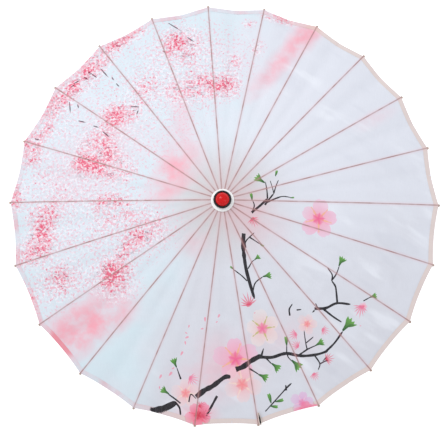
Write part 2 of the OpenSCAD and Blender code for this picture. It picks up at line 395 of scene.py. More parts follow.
def oiled_cloth(name, settings, hem=False):
    """Printed cloth: ground, washes, blossom clouds and painted branches, with painted shade round the cap
    and at the foot, painted highlights and shade of soft folds, and the rib's glue line and painted shadow.
    """
    material, n, shader = new_material(name)
    at = n.attribute("cloth_at", "Vector")
    east, north, from_rib = n.split(at)
    flat = n.joined(east, north)
    density, wash, underside = n.make("SeparateColor", {0: n.attribute("cloth_tint")}).outputs

    drift = n.times(n.minus(n.noise(flat, 7.0, 2.0), 0.5), 0.35)
    # painted shade: the plain ground darkens towards the foot of the picture
    plain = n.mix(n.step(n.plus(north, drift), -0.24, 0.12), settings.foot_shade, settings.pearl)
    westward = n.minus(n.times(north, 0.30), east)
    left = n.step(n.plus(drift, westward), -0.04, 0.16)
    ground = n.mix(left, plain, settings.sky)
    pale = n.noise(flat, 16.0, 3.0)
    ground = n.mix(n.step(pale, 0.45, 0.75, 0.0, 0.40), ground, (0.68, 0.70, 0.76))
    from_hub = n.make("VectorMath", {0: flat}, operation="LENGTH").outputs["Value"]
    # painted shade: a darker warm grey on the cloth near the cap, where the ribs crowd
    ground = n.mix(n.step(from_hub, 0.02, 0.15, 0.85, 0.0), ground, settings.shade_round_cap)
    soft = n.times(wash, n.step(n.noise(flat, 22.0, 4.0, 0.6), 0.28, 0.66, 0.25, 1.0))
    ground = n.mix(soft, ground, settings.blush)

    # painted highlights and painted shade in slanting streaks along soft folds, on the plain side
    slanting = n.mapped(flat, "TEXTURE", Rotation=(0.0, 0.0, -0.55), Scale=(0.13, 0.032, 1.0))
    fold_shading = n.noise(slanting, 1.0, 2.0, 0.45)
    where = n.times(n.step(n.noise(flat, 9.0, 2.0), 0.40, 0.62), n.step(from_hub, 0.10, 0.26))
    where = n.times(where, n.step(left, 0.0, 0.6, 1.0, 0.15))
    ground = n.mix(n.times(n.step(fold_shading, 0.52, 0.68, 0.0, 0.50), where), ground, (0.80, 0.82, 0.87))
    ground = n.mix(n.times(n.step(fold_shading, 0.46, 0.34, 0.0, 0.10), where), ground, (0.36, 0.38, 0.46))

    specks = n.group(speckle_group(), {"Vector": flat, "Density": density})
    tone = n.noise(flat, 140.0, 2.0)
    picture = n.mix(n.times(density, 0.42), ground, settings.haze)
    light = n.mix(tone, settings.petal_pink, settings.blush)
    light = n.mix(n.step(density, 0.25, 0.7, 0.62, 0.0), light, settings.haze)
    picture = n.mix(n.times(specks["Light"], 0.62), picture, light)
    picture = n.mix(n.times(specks["Deep"], 0.82), picture, settings.deep_pink)
    picture = n.mix(n.times(specks["White"], 0.70), picture, (0.80, 0.79, 0.83))
    picture = n.mix(n.times(specks["Twig"], 0.62), picture, (0.16, 0.03, 0.07))

    if hem:
        side = n.plus(east, n.times(north, -0.35))
        plain_side = n.step(side, -0.12, 0.10)
        doubled = n.mix(plain_side, settings.hem_pink, settings.hem_cream)
        patchy = n.step(n.noise(flat, 30.0, 3.0), 0.35, 0.75, 0.08, 0.50)
        patchy = n.math("MAXIMUM", patchy, n.step(wash, 0.35, 0.75, 0.0, 0.95))
        cover = n.math("MAXIMUM", n.times(plain_side, 0.78), patchy)
        picture = n.mix(cover, picture, doubled)
    paint = n.make("Attribute", attribute_name="cloth_paint").outputs
    bleed = n.step(n.noise(flat, 420.0, 2.0), 0.2, 0.8, 0.97, 1.0)
    picture = n.mix(n.times(paint["Alpha"], bleed), picture, paint["Color"])

    # the glue line along each rib, with the rib's painted shadow through the cloth, patchy along its length
    beside = n.math("ABSOLUTE", from_rib)
    line = n.step(beside, 0.55 * MM, 1.75 * MM, 1.0, 0.0)
    along_rib = n.step(n.noise(flat, 45.0, 2.0), 0.3, 0.7, 0.55, 0.95)
    picture = n.mix(n.times(line, along_rib), picture, settings.rib_glue_and_shadow)
    blush_line = n.step(beside, 1.5 * MM, 6.0 * MM, 1.0, 0.0)
    picture = n.mix(n.times(blush_line, 0.12), picture, settings.hem_pink)

    weave = n.group(weave_group(), {"Vector": flat, "Threads": 5200.0})
    picture = n.mix(n.step(weave["Tone"], 0.3, 0.7, 0.0, 0.07), picture, (0.45, 0.42, 0.48))
    picture = n.mix(n.times(underside, 0.55), picture, ground)

    rough = n.step(n.noise(flat, 60.0, 3.0), 0.3, 0.7, 0.42, 0.58)
    creases = n.noise(n.mapped(flat, Rotation=(0.0, 0.0, 0.6), Scale=(9.0, 34.0, 1.0)), 1.0, 3.0, 0.5)
    normal = n.bump(creases, 0.35, 4.0 * MM)
    normal = n.bump(weave["Height"], 0.12, 0.06 * MM, normal)
    feed(n, shader, picture, rough, normal)
    shader.inputs["Sheen Weight"].default_value = 0.03
    shader.inputs["Sheen Roughness"].default_value = 0.4
    shader.inputs["Specular IOR Level"].default_value = 0.16
    return material


def straight_wood(name, base, slope=None, gloss=0.42):
    """Varnished wood with its grain along a bar; slope is the fall of sloping bars about the shaft."""
    material, n, shader = new_material(name)
    place = n.make("TexCoord").outputs["Object"]
    if slope is None:
        vector = place
    else:
        # bars that fan out round the shaft: round it, above the bar's own line, and along it
        x, y, z = n.split(place)
        out_from_shaft = n.math("SQRT", n.plus(n.times(x, x), n.times(y, y)))
        around = n.times(n.math("ARCTAN2", y, x), 0.35)
        above = n.plus(z, n.times(out_from_shaft, slope))
        vector = n.joined(around, above, out_from_shaft)
    grain = n.group(grain_group(), {"Vector": vector, "Fine": 1100.0, "Long": 12.0})
    wear = n.group(wear_group(), {"Vector": place, "Size": 26.0})
    dark = toned(base, 0.52)
    pale = toned(base, 1.28)
    tone = n.mix(n.step(grain["Grain"], 0.32, 0.68), dark, base)
    tone = n.mix(n.step(grain["Band"], 0.42, 0.72, 0.0, 0.65), tone, pale)
    tone = n.mix(n.times(wear["Smudge"], 0.18), tone, dark)
    rough = n.step(grain["Grain"], 0.2, 0.8, gloss + 0.12, gloss - 0.06)
    normal = n.bump(grain["Grain"], 0.25, 0.12 * MM)
    feed(n, shader, tone, rough, normal)
    shader.inputs["Coat Weight"].default_value = 0.25
    shader.inputs["Coat Roughness"].default_value = 0.25
    return material


def turned_wood(name, base):
    """Turned wood: fine rings from the lathe over straight grain."""
    material, n, shader = new_material(name)
    place = n.make("TexCoord").outputs["Object"]
    grain = n.group(grain_group(), {"Vector": place, "Fine": 420.0, "Long": 30.0})
    rings = n.math("SINE", n.times(n.split(place)["Z"], 9000.0))
    dark = toned(base, 0.6)
    tone = n.mix(n.step(grain["Grain"], 0.3, 0.7), dark, base)
    tone = n.mix(n.step(grain["Band"], 0.45, 0.7, 0.0, 0.5), tone, toned(base, 1.2))
    wear = n.group(wear_group(), {"Vector": place, "Size": 90.0})
    tone = n.mix(n.times(wear["Smudge"], 0.15), tone, dark)
    rough = n.step(grain["Grain"], 0.2, 0.8, 0.58, 0.42)
    normal = n.bump(rings, 0.15, 0.05 * MM, n.bump(grain["Grain"], 0.2, 0.1 * MM))
    feed(n, shader, tone, rough, normal)
    return material


def drawn_steel(name, base=(0.60, 0.60, 0.61)):
    """Drawn or rolled steel with fine lines and small scratches."""
    material, n, shader = new_material(name)
    place = n.make("TexCoord").outputs["Object"]
    lines = n.noise(n.mapped(place, Scale=(2600.0, 2600.0, 150.0)), 1.0, 2.0)
    wear = n.group(wear_group(), {"Vector": place, "Size": 200.0})
    tone = n.mix(n.step(lines, 0.3, 0.7), toned(base, 0.72), base)
    tone = n.mix(n.times(wear["Smudge"], 0.3), tone, toned(base, 0.5))
    feed(n, shader, tone, n.step(lines, 0.3, 0.7, 0.24, 0.42), n.bump(lines, 0.1, 0.03 * MM))
    shader.inputs["Metallic"].default_value = 1.0
    return material


def gloss_plastic(name, base, marks, rough):
    """Moulded glossy plastic with faint flow marks, smudges and small scratches."""
    material, n, shader = new_material(name)
    place = n.make("TexCoord").outputs["Object"]
    wear = n.group(wear_group(), {"Vector": place, "Size": 160.0})
    tone = n.mix(n.times(wear["Smudge"], 0.35), base, marks)
    tone = n.mix(n.times(wear["Scratch"], 0.25), tone, tuple(min(1.0, c + 0.12) for c in base))
    gloss = n.step(wear["Smudge"], 0.0, 1.0, rough, rough + 0.12)
    ripple = n.noise(place, 380.0, 2.0)
    feed(n, shader, tone, gloss, n.bump(ripple, 0.06, 0.15 * MM))
    shader.inputs["Specular IOR Level"].default_value = 0.22
    shader.inputs["Coat Weight"].default_value = 0.12
    shader.inputs["Coat Roughness"].default_value = 0.08
    return material


def twisted_thread(name, base):
    """Cotton thread with fibres along its twist."""
    material, n, shader = new_material(name)
    place = n.make("TexCoord").outputs["Object"]
    fibres = n.noise(place, 2600.0, 3.0, 0.7)
    tone = n.mix(n.step(fibres, 0.3, 0.7), toned(base, 0.5), toned(base, 1.3))
    feed(n, shader, tone, n.step(fibres, 0.3, 0.7, 0.65, 0.9), n.bump(fibres, 0.3, 0.1 * MM))
    shader.inputs["Sheen Weight"].default_value = 0.3
    return material


# ---------------------------------------------------------------- the printed picture
# Places are millimetres on the open canopy seen from above, with the shaft at (0, 0).

# how far the whole picture is drawn in, across and along
PULL = (0.975, 0.985)

# branches: widths at the two ends, then the way from the thick end to the thin one
BRANCHES = (
    (3.5, 3.0, ((55, -21), (70, -8), (85, 7))),
    (2.4, 1.2, ((85, 7), (84, 22), (81, 40))),
    (3.0, 2.0, ((80, -5), (97, 18))), (1.8, 1.2, ((97, 18), (101, 32), (106, 45))),
    (1.6, 1.0, ((97, 18), (94, 30), (90, 43))),
    (2.6, 1.2, ((84, 0), (100, 8), (114, 13), (130, 12))),
    (2.0, 1.2, ((56, -20), (60, -8), (57, 2))),
    (7.5, 6.5, ((40, -60), (38, -84))), (7.0, 5.5, ((38, -80), (43, -118), (50, -146), (60, -178))),
    (2.6, 1.4, ((43, -86), (44, -74), (60, -58))), (2.2, 1.2, ((50, -66), (60, -72), (70, -78))),
    (1.8, 1.2, ((48, -124), (55, -112), (60, -108))), (2.0, 1.4, ((46, -146), (36, -137), (21, -126))),
    (2.4, 1.4, ((57, -164), (62, -149), (76, -138))),
    (12.0, 11.0, ((-140, -381), (-116, -377), (-90, -366))),
    (3.4, 2.2, ((-92, -366), (-84, -376), (-82, -390))),
    (2.4, 1.8, ((-82, -368), (-92, -360), (-106, -350))), (2.4, 1.4, ((-81, -324), (-89, -302))),
    (10.0, 7.0, ((-52, -357), (-36, -345), (-20, -337), (2, -321), (14, -320))),
    (3.4, 2.8, ((-12, -355), (-33, -392))), (2.2, 1.2, ((-66, -366), (-62, -352), (-52, -360))),
    (10.5, 8.0, ((24, -307), (38, -302), (54, -291), (73, -281))),
    (6.5, 4.0, ((68, -284), (93, -284), (120, -277), (148, -281), (176, -278), (200, -270))),
    (4.0, 2.6, ((195, -272), (212, -256), (228, -234))), (3.4, 1.4, ((72, -284), (77, -268))),
    (2.8, 1.4, ((49, -305), (58, -310), (68, -316))), (2.8, 1.4, ((82, -286), (92, -296))),
    (2.4, 1.2, ((122, -277), (124, -284), (132, -292))), (2.2, 1.2, ((121, -276), (121, -262))),
    (2.8, 1.4, ((144, -280), (160, -269), (178, -260))), (1.8, 1.2, ((160, -269), (157, -256), (154, -234))),
    (1.8, 1.4, ((158, -257), (172, -245))), (2.4, 1.4, ((174, -279), (184, -294), (181, -306))),
    (1.8, 1.4, ((184, -294), (192, -290))),
    (5.0, 3.0, ((174, -194), (196, -192), (217, -182), (243, -183))),
    (3.0, 2.2, ((218, -184), (216, -162), (214, -151), (207, -141))),
    (2.2, 1.4, ((207, -141), (208, -130), (199, -117))), (2.2, 1.4, ((207, -141), (216, -128), (222, -112))),
    (3.2, 2.2, ((190, -193), (209, -207), (226, -217))), (1.8, 1.2, ((268, -176), (282, -168))),
    (2.4, 1.6, ((127, -208), (126, -196), (132, -186))), (2.2, 1.4, ((140, -197), (149, -196))),
    (2.4, 1.2, ((174, -197), (170, -201))), (1.8, 1.4, ((180, -192), (176, -184))),
    (1.6, 2.4, ((80, -383), (95, -367), (118, -342), (130, -331))), (2.4, 2.0, ((120, -344), (119, -334))),
)

# leaves: place, size, heading in degrees and lobes
LEAVES = (
    (80, 38, 22, 150, 3), (56, 2, 14, 100, 1), (100, 52, 12, 75, 1), (128, 11, 8, 10, 1),
    (70, -78, 9, -30, 2), (60, -108, 13, 40, 3), (21, -126, 9, 140, 1), (76, -138, 17, 15, 3),
    (-89, -302, 18, 115, 3), (-104, -350, 18, 150, 3), (67, -316, 20, -20, 3), (92, -295, 20, -35, 3),
    (130, -289, 24, -40, 3),
    (121, -263, 17, 95, 2), (176, -261, 18, 30, 3), (228, -233, 30, 50, 3), (221, -113, 20, 65, 3),
    (280, -169, 15, 20, 3), (91, -368, 18, 105, 2), (99, -365, 16, 15, 2), (89, -373, 15, -5, 1),
)

# blossoms: place, radius, turn in degrees and palette
BLOSSOMS = (
    (182, -26, 37, 8, "pink"), (75, -232, 34, 30, "cream"), (24, -288, 42, 95, "pink"),
    (36, -334, 36, 60, "peach"), (150, -366, 22, 80, "lilac"), (160, -386, 26, 30, "hot"),
    (-72, -350, 28, 20, "peach"), (-48, -390, 26, 50, "hot"), (160, -222, 20, 0, "peach"),
    (268, -186, 8, 0, "pink"),
)

# palettes: foot of a petal, rim of a petal, cover there, heart and stamens
PALETTES = {
    "pink": ((0.86, 0.24, 0.36), (0.80, 0.42, 0.58), 0.80, 0.62, (0.78, 0.10, 0.26), (0.80, 0.42, 0.20)),
    "cream": ((0.82, 0.40, 0.38), (0.80, 0.68, 0.64), 0.75, 0.50, (0.80, 0.14, 0.32), (0.42, 0.42, 0.07)),
    "peach": ((0.84, 0.34, 0.36), (0.80, 0.60, 0.60), 0.75, 0.45, (0.82, 0.22, 0.24), (0.82, 0.62, 0.52)),
    "hot": ((0.76, 0.05, 0.12), (0.84, 0.20, 0.34), 0.95, 0.70, (0.55, 0.02, 0.05), (0.80, 0.10, 0.16)),
    "lilac": ((0.66, 0.30, 0.56), (0.70, 0.44, 0.66), 0.80, 0.70, (0.72, 0.20, 0.40), (0.80, 0.50, 0.60)),
}

# buds: place, size, heading in degrees and how dark they are
BUDS = (
    (56, -32, 14, -60, 0.9), (50, -190, 19, 110, 0.8), (139, -241, 13, 200, 0.3), (189, -232, 12, -20, 0.35),
    (143, -264, 12, 150, 0.4), (172, -313, 12, -60, 0.4), (264, -186, 17, -110, 0.3),
    (-64, -322, 15, -30, 0.2),
    (-46, -374, 11, 30, 1.0), (196, -286, 14, 20, 0.9), (-40, -392, 16, 30, 0.9),
)

# loose petals: place, size and heading in degrees
PETALS = (
    (-65, -228, 6, 70), (-69, -248, 8, 20), (-72, -258, 7, 100), (-79, -277, 9, 60), (-101, -314, 10, 50),
    (-120, -319, 9, 60), (-122, -339, 6, 90), (-8, -210, 8, 60), (-34, -216, 9, 90), (-40, -233, 6, 10),
    (-12, -221, 5, 40), (-70, -240, 5, 150), (-96, -304, 6, 30), (262, -222, 4, 0), (60, -204, 4, 40),
)

# blossom clouds: place, half length, half width, turn in degrees and strength
CLOUDS = (
    (-272, 262, 88, 24, 44, 1.0), (-240, 108, 46, 36, 60, 1.0), (-196, 182, 36, 24, 20, 0.95),
    (-252, 88, 36, 26, 20, 0.9), (-208, 78, 42, 28, -20, 0.85), (-150, 226, 34, 26, 50, 0.55),
    (-42, 232, 62, 26, 8, 1.0), (-82, 328, 36, 34, 70, 0.95), (6, 232, 28, 26, 60, 0.9),
    (16, 280, 22, 16, 60, 0.6), (48, 368, 14, 12, 0, 0.6), (64, 315, 18, 14, 80, 0.6),
    (102, 380, 34, 10, -14, 1.0), (-372, 138, 26, 20, 70, 0.95), (-362, 108, 28, 18, 10, 0.7),
    (-394, 34, 30, 16, 85, 0.75), (-352, -66, 44, 32, 40, 1.0), (-336, -34, 40, 22, 70, 0.7),
    (-212, -124, 42, 32, 20, 1.0), (-160, -66, 46, 20, 38, 0.9), (-308, -132, 50, 36, 10, 0.6),
    (-372, -166, 40, 18, 115, 0.8), (-126, -54, 24, 20, 0, 0.55), (-210, 12, 34, 16, 5, 0.7),
    (-340, -8, 34, 20, 20, 0.7), (-196, -152, 46, 30, 10, 0.6), (-180, -20, 60, 30, 0, 0.45),
    (-215, 150, 250, 140, 40, 0.30), (-60, 290, 120, 90, 0, 0.30), (-255, -50, 130, 90, 10, 0.30),
    (-130, -60, 80, 50, 25, 0.22), (-330, 190, 40, 50, 40, 0.35), (-200, 335, 60, 14, 30, 0.80),
    (-330, 40, 70, 60, 0, 0.22), (-320, -170, 60, 50, 0, 0.22), (-345, 150, 40, 14, 65, 0.7),
)

# soft washes: place, half length, half width, turn in degrees and strength
WASHES = (
    (104, 282, 90, 20, 52, 0.75), (150, 342, 44, 26, 60, 0.75), (176, 360, 24, 16, 60, 0.9),
    (-84, 66, 52, 36, 50, 0.9), (-110, 30, 40, 30, 20, 0.6), (-250, -212, 80, 48, 30, 0.9),
    (-290, -235, 60, 44, 40, 0.8), (-200, -200, 50, 30, 40, 0.6), (-80, 190, 22, 60, 10, 0.35),
    (10, -290, 70, 60, 0, 0.35), (-50, -78, 34, 24, 0, 0.3), (50, -30, 70, 50, -30, 0.28),
    (284, 176, 44, 14, 30, 0.3), (-40, -330, 70, 40, 0, 0.25), (-90, 120, 40, 40, 0, 0.35),
    (120, -240, 60, 40, 0, 0.22), (-50, -385, 40, 20, 0, 0.7), (-240, 100, 110, 70, 40, 0.32),
)

# short dark strokes among the blossom clouds: place, length and heading in degrees
STROKES = (
    (-110, 377, 29, -34), (-119, 316, 7, -45), (-267, 280, 7, -40), (-294, 256, 13, 32), (-261, 276, 17, -40),
    (-242, 284, 26, -51), (-219, 264, 8, -60), (-300, 249, 9, 30), (-253, 164, 12, -20), (-234, 151, 18, -42),
    (-283, 177, 16, -18), (-180, 200, 18, -8), (-168, 183, 9, 70), (-370, 147, 12, -20), (-72, 345, 17, -39),
    (-268, 99, 13, -24), (-302, 217, 24, -84), (-286, 211, 9, -70), (-276, 270, 12, -35),
    (-210, 250, 10, -50),
    (185, -295, 16, 34), (189, -291, 13, 18), (190, -289, 12, 48),
)


class Shape:
    """A flat outline of the picture, in millimetres, with the colour and cover at each place."""

    def __init__(self, outline, shade):
        self.outline = np.asarray(outline, float)
        self.shade = shade
        self.low = self.outline.min(0)
        self.high = self.outline.max(0)

    def holds(self, points):
        """Which points lie inside the outline."""
        inside = np.zeros(len(points), bool)
        near = ((points >= self.low) & (points <= self.high)).all(1)
        if near.any():
            x, y = points[near, :1], points[near, 1:]
            x0, y0 = self.outline.T
            x1, y1 = np.roll(self.outline, -1, axis=0).T
            rise = np.where(y1 == y0, 1e-9, y1 - y0)
            crossing = ((y0 > y) != (y1 > y)) & (x < (x1 - x0) * (y - y0) / rise + x0)
            inside[near] = crossing.sum(1) % 2 == 1
        return inside


def even(rgb, cover=1.0):
    """One colour all over."""
    value = np.array([*rgb, cover])
    return lambda points: np.tile(value, (len(points), 1))


def fade(centre, radius, inner, outer):
    """Colour and cover that change from the centre outwards."""
    centre, inner, outer = np.array(centre, float), np.array(inner, float), np.array(outer, float)

    def at(points):
        t = np.clip(np.linalg.norm(points - centre, axis=1) / radius, 0, 1)[:, None]
        return inner * (1 - t) + outer * t

    return at


def spline(points, steps=6):
    """A smooth way through the given points."""
    p = np.array(points, float)
    p = np.vstack([2 * p[0] - p[1], p, 2 * p[-1] - p[-2]])
    way = []
    for a, b, c, d in zip(p, p[1:], p[2:], p[3:]):
        for t in np.arange(steps) / steps:
            way.append(0.5 * (2 * b + (c - a) * t + (2 * a - 5 * b + 4 * c - d) * t**2
                              + (3 * b - a - 3 * c + d) * t**3))
    return np.array(way + [p[-2]])


def branch(start_w, end_w, points, bark):
    """A tapering, slightly knotty branch."""
    way = spline(points)
    # thin twigs are drawn a little bolder than thick branches
    start_w, end_w = (w * 1.3 if w < 4 else w for w in (start_w, end_w))
    run = np.gradient(way, axis=0)
    run /= np.linalg.norm(run, axis=1)[:, None] + 1e-9
    side = np.stack([-run[:, 1], run[:, 0]], 1)
    t = np.linspace(0, 1, len(way))
    knots = np.array([noise.noise(Vector((*(p * 0.11), 3.0))) for p in way])
    half = 0.5 * (start_w + (end_w - start_w) * t) * (1 + 0.30 * knots)
    half[-1] *= 0.45
    left, right = way + side * half[:, None], way - side * half[:, None]
    return Shape(np.vstack([left, right[::-1]]), even(bark))


def turned(points, heading_deg, place):
    """Points drawn along +X, turned to a heading and moved to their place."""
    a = math.radians(heading_deg)
    turn = np.array([[math.cos(a), math.sin(a)], [-math.sin(a), math.cos(a)]])
    return np.asarray(points, float) @ turn + np.array(place, float)


# outlines of leaves, one unit long, with three lobes and with one or two
FAN = ((0, -0.05), (0.40, -0.13), (0.66, -0.34), (0.92, -0.46), (0.80, -0.26), (0.98, -0.20), (0.82, -0.06),
       (1.04, 0.08), (0.84, 0.14), (0.95, 0.34), (0.70, 0.30), (0.42, 0.15), (0, 0.06))
SLIM = ((0, -0.05), (0.45, -0.17), (0.80, -0.20), (1.05, -0.12), (0.94, 0.02), (1.0, 0.18), (0.70, 0.18),
        (0.35, 0.13), (0, 0.05))


def leaf(x, y, size, heading_deg, lobes, dark, light):
    """A small fan of pointed lobes on one foot, with a darker fold down one side."""
    form = np.array(FAN if lobes == 3 else SLIM) * size
    near, far = (*dark, 1.0), (*light, 1.0)
    fold = np.vstack([[(0, 0)], form[1:4] * (1, 0.9), [(0.62 * size, -0.06 * size)]])
    return [Shape(turned(form, heading_deg, (x, y)), fade((x, y), 1.05 * size, near, far)),
            Shape(turned(fold, heading_deg, (x, y)), fade((x, y), 1.9 * size, near, far))]


def sliver(length_mm, width, heading_deg, place, shade):
    """A thin pointed stroke."""
    widest = 0.6 * length_mm
    body = [(0, -0.3 * width), (widest, -0.5 * width), (length_mm, 0),
            (widest, 0.5 * width), (0, 0.3 * width)]
    return Shape(turned(body, heading_deg, place), shade)


def blossom(x, y, radius, turn_deg, palette):
    """Five broad, watery petals round a bright heart with stamens."""
    foot, rim, foot_cover, rim_cover, heart, stamen = PALETTES[palette]
    shapes = []
    for i in range(5):
        reach = radius * (1.0 + 0.08 * math.sin(2.4 * i + x))
        t = np.radians(np.linspace(-155, 155, 17))
        body = np.stack([0.60 * reach + 0.40 * reach * np.cos(t), 0.38 * reach * np.sin(t)], 1)
        body[8, 0] -= 0.07 * reach
        body = np.vstack([[(0.04 * reach, 0)], body])
        cover = rim_cover * (0.8 + 0.2 * math.cos(1.9 * i))
        shapes.append(Shape(turned(body, turn_deg + 72 * i, (x, y)),
                            fade((x, y), radius, (*foot, foot_cover), (*rim, cover))))
    for i in range(10):
        aim = turn_deg + 36 * i + 14 * math.sin(3 * i)
        long = radius * (0.64 if i % 2 else 0.38)
        ink = even(stamen, 0.75) if i % 2 else even(heart, 0.5)
        shapes.append(sliver(long, 0.10 * radius, aim, (x, y), ink))
        if i % 2:
            place = turned([(long, 0)], aim, (x, y))[0]
            shapes.append(petal(*place, 0.15 * radius, aim, stamen))
    spin = np.radians(np.arange(20) * 18 + turn_deg)
    star = np.where(np.arange(20) % 2, 0.27, 0.33) * radius
    outline = np.stack([x + star * np.cos(spin), y + star * np.sin(spin)], 1)
    shapes.append(Shape(outline, fade((x, y), 0.33 * radius, (*heart, 1.0), (*heart, 0.28))))
    return shapes


def bud(x, y, size, heading_deg, dark):
    """A half-open bud: a fan of thin curved slivers on a bright foot."""
    rose = np.array([0.80, 0.22, 0.36]) * (1 - dark) + np.array([0.62, 0.03, 0.08]) * dark
    tip = 0.6 * rose + 0.4 * np.array([0.82, 0.45, 0.56])
    shapes = []
    for i in range(8):
        lean = 21 * (i - 3.5)
        long = size * (1.3 - 0.10 * abs(i - 3.5) + 0.12 * math.sin(5 * i))
        shapes.append(sliver(long, 0.13 * size, heading_deg + lean, (x, y),
                             fade((x, y), size, (*rose, 1.0), (*tip, 0.8))))
    shapes.append(petal(x, y, 0.62 * size, heading_deg + 90, tuple(rose)))
    return shapes


def petal(x, y, size, heading_deg, pink):
    """A loose petal."""
    t = np.radians(np.arange(0, 360, 45))
    body = np.stack([size * 0.5 * np.cos(t), size * 0.22 * np.sin(t) * (1 + 0.5 * np.cos(t))], 1)
    return Shape(turned(body, heading_deg, (x, y)), even(pink, 0.7))


def picture_shapes(colours):
    """Every outline of the picture, from the back to the front."""
    shapes = []
    for row in BLOSSOMS:
        shapes += blossom(*row)
    shapes += [branch(*row, colours.bark) for row in BRANCHES]
    for row in LEAVES:
        shapes += leaf(*row, colours.leaf_dark, colours.leaf_light)
    for row in BUDS:
        shapes += bud(*row)
    shapes += [petal(*row, colours.petal_pink) for row in PETALS]
    ink = even((0.06, 0.015, 0.03), 0.85)
    shapes += [sliver(size, 2.6, aim, (x, y), ink) for x, y, size, aim in STROKES]
    return shapes


def turned_picture(colours):
    """The picture as it lies on the canopy, turned about the shaft."""

    def turned_shape(shape):
        outline = turn_plan(shape.outline * PULL, colours.turn)
        return Shape(outline, lambda at: shape.shade(turn_plan(at, -colours.turn) / PULL))

    return [turned_shape(shape) for shape in picture_shapes(colours)]


def cover_of(rows, points):
    """How strongly soft round patches cover each point, in millimetres."""
    total = np.zeros(len(points))
    for x, y, half_long, half_wide, turn_deg, strength in rows:
        a = math.radians(turn_deg)
        d = points - (x, y)
        u = (d[:, 0] * math.cos(a) + d[:, 1] * math.sin(a)) / half_long
        v = (-d[:, 0] * math.sin(a) + d[:, 1] * math.cos(a)) / half_wide
        total = 1 - (1 - total) * (1 - strength * np.clip(1.25 - 0.95 * np.sqrt(u * u + v * v), 0, 1))
    return total


# ---------------------------------------------------------------- the form of the cloth


def bend_at(along):
    """How far the outer part of a rib has bent down."""
    t = np.clip((along - RIB_BEND_FROM) / (RIB_LEN - RIB_BEND_FROM), 0, None)
    return RIB_BEND * t * t


def on_rib(along, up):
    """Distance from the shaft and height of a point along a rib and square to its back."""
    lift = RIB_BACK - bend_at(along) + up
    return (HUB_R + along * math.cos(OPEN) + lift * math.sin(OPEN),
            HUB_Z - along * math.sin(OPEN) + lift * math.cos(OPEN))


class Gore:
    """The strip of cloth over one rib, from the middle of one panel to the middle of the next."""

    def __init__(self, index, cloth):
        self.cloth = cloth
        self.heading = HEADINGS[index]
        count = len(RIBS)
        before = HEADINGS[index - 1] - (2 * math.pi if index == 0 else 0)
        after = HEADINGS[(index + 1) % count] + (2 * math.pi if index == count - 1 else 0)
        self.gaps = (self.heading - before, after - self.heading)

    def panel(self, turn):
        """Width of the panel on each side of the rib, and the share of the way across it."""
        wide = np.where(turn < 0, self.gaps[0], self.gaps[1])
        return wide, np.abs(turn) / wide

    def spread(self, along, turn, up):
        """Plan distance and height of the cloth at a place along the rib and a turn from it."""
        wide, across = self.panel(turn)
        bow = 4 * across * (1 - across)
        reach = np.clip(along, 0, None) / HEM_ALONG
        r, z = on_rib(along, up)
        r = r * np.cos(wide / 2) / np.cos(wide * (across - 0.5)) - self.cloth.scallop * bow * reach**6
        level = r * np.sin(wide * across) * np.tan(wide / 2) * math.tan(OPEN)
        dip = self.dip(r, wide, across)
        return r, z + level * (1 - dip) - self.cloth.sag * dip * reach

    def dip(self, r, wide, across):
        """Share of the sag: none on the level band beside the rib, all of it halfway to the next one."""
        half = r * np.sin(wide / 2)
        band = np.minimum(self.cloth.level_band, 0.5 * half)
        t = np.clip((r * np.sin(wide * across) - band) / (half - band), 0, 1)
        return t * t * (3 - 2 * t)

    def along_at(self, r, turn):
        """Where along the rib the cloth is at a plan distance from the shaft."""
        along = (r - HUB_R) / math.cos(OPEN)
        for _ in range(4):
            along = along + (r - self.spread(along, turn, self.cloth.gap)[0]) / math.cos(OPEN)
        return along

    def height(self, x, y, up):
        """Height of the cloth at a place on the plan, with its ridges and wrinkles."""
        turn = np.angle(np.exp(1j * (np.arctan2(y, x) - self.heading)))
        r = np.hypot(x, y)
        along = self.along_at(r, turn)
        z = self.spread(along, turn, up)[1]
        aside = r * np.sin(turn)
        ridge = self.cloth.ridge * np.exp(-((aside / (0.55 * RIB_W)) ** 2)) * np.clip(along / (40 * MM), 0, 1)
        return z + ridge + self.wrinkles(x, y, along, turn)

    def wrinkles(self, x, y, along, turn):
        """Soft slanting wrinkles that die out at the ribs and the hub, and puckers at the hem."""
        wide, across = self.panel(turn)
        calm = self.dip(np.hypot(x, y), wide, across) * np.clip(along / (120 * MM), 0, 1)
        slant = np.sin(95 * (x * 0.6 + y) + 3 * np.sin(21 * x) + 2 * np.sin(17 * y))
        cross = np.sin(140 * (x - 0.5 * y) + 2.5 * np.sin(26 * y + 1.0))
        soft = 0.5 + 0.5 * np.sin(13 * x + 2.0) * np.sin(11 * y + 0.5)
        pucker = np.sin(across * 44 + 5 * np.sin(9 * x + 7 * y)) * np.exp(-(HEM_ALONG - along) / (16 * MM))
        return self.cloth.wrinkle * calm * (0.55 * slant * cross * soft + 0.22 * pucker)

    def normals(self, x, y, up):
        """Unit normals of the cloth's upper side."""
        d = 0.6 * MM
        zx = (self.height(x + d, y, up) - self.height(x - d, y, up)) / (2 * d)
        zy = (self.height(x, y + d, up) - self.height(x, y - d, up)) / (2 * d)
        n = np.stack([-zx, -zy, np.ones_like(zx)], 1)
        return n / np.linalg.norm(n, axis=1)[:, None]

    def columns(self, r):
        """Turns from the rib at which a row has points: close beside the rib, and wider apart outwards."""
        near = np.array([1.0, 2.2, 4.0]) * MM / r
        turns = [0.0]
        for side, gap in zip((-1, 1), self.gaps):
            half = gap / 2
            beside = near[near < 0.35 * half]
            start = beside[-1] if len(beside) else 0.0
            count = max(2, int(round((half - start) * r / (7 * MM))))
            turns += [side * t for t in beside]
            turns += [side * (start + (half - start) * i / count) for i in range(1, count + 1)]
        return np.sort(turns)


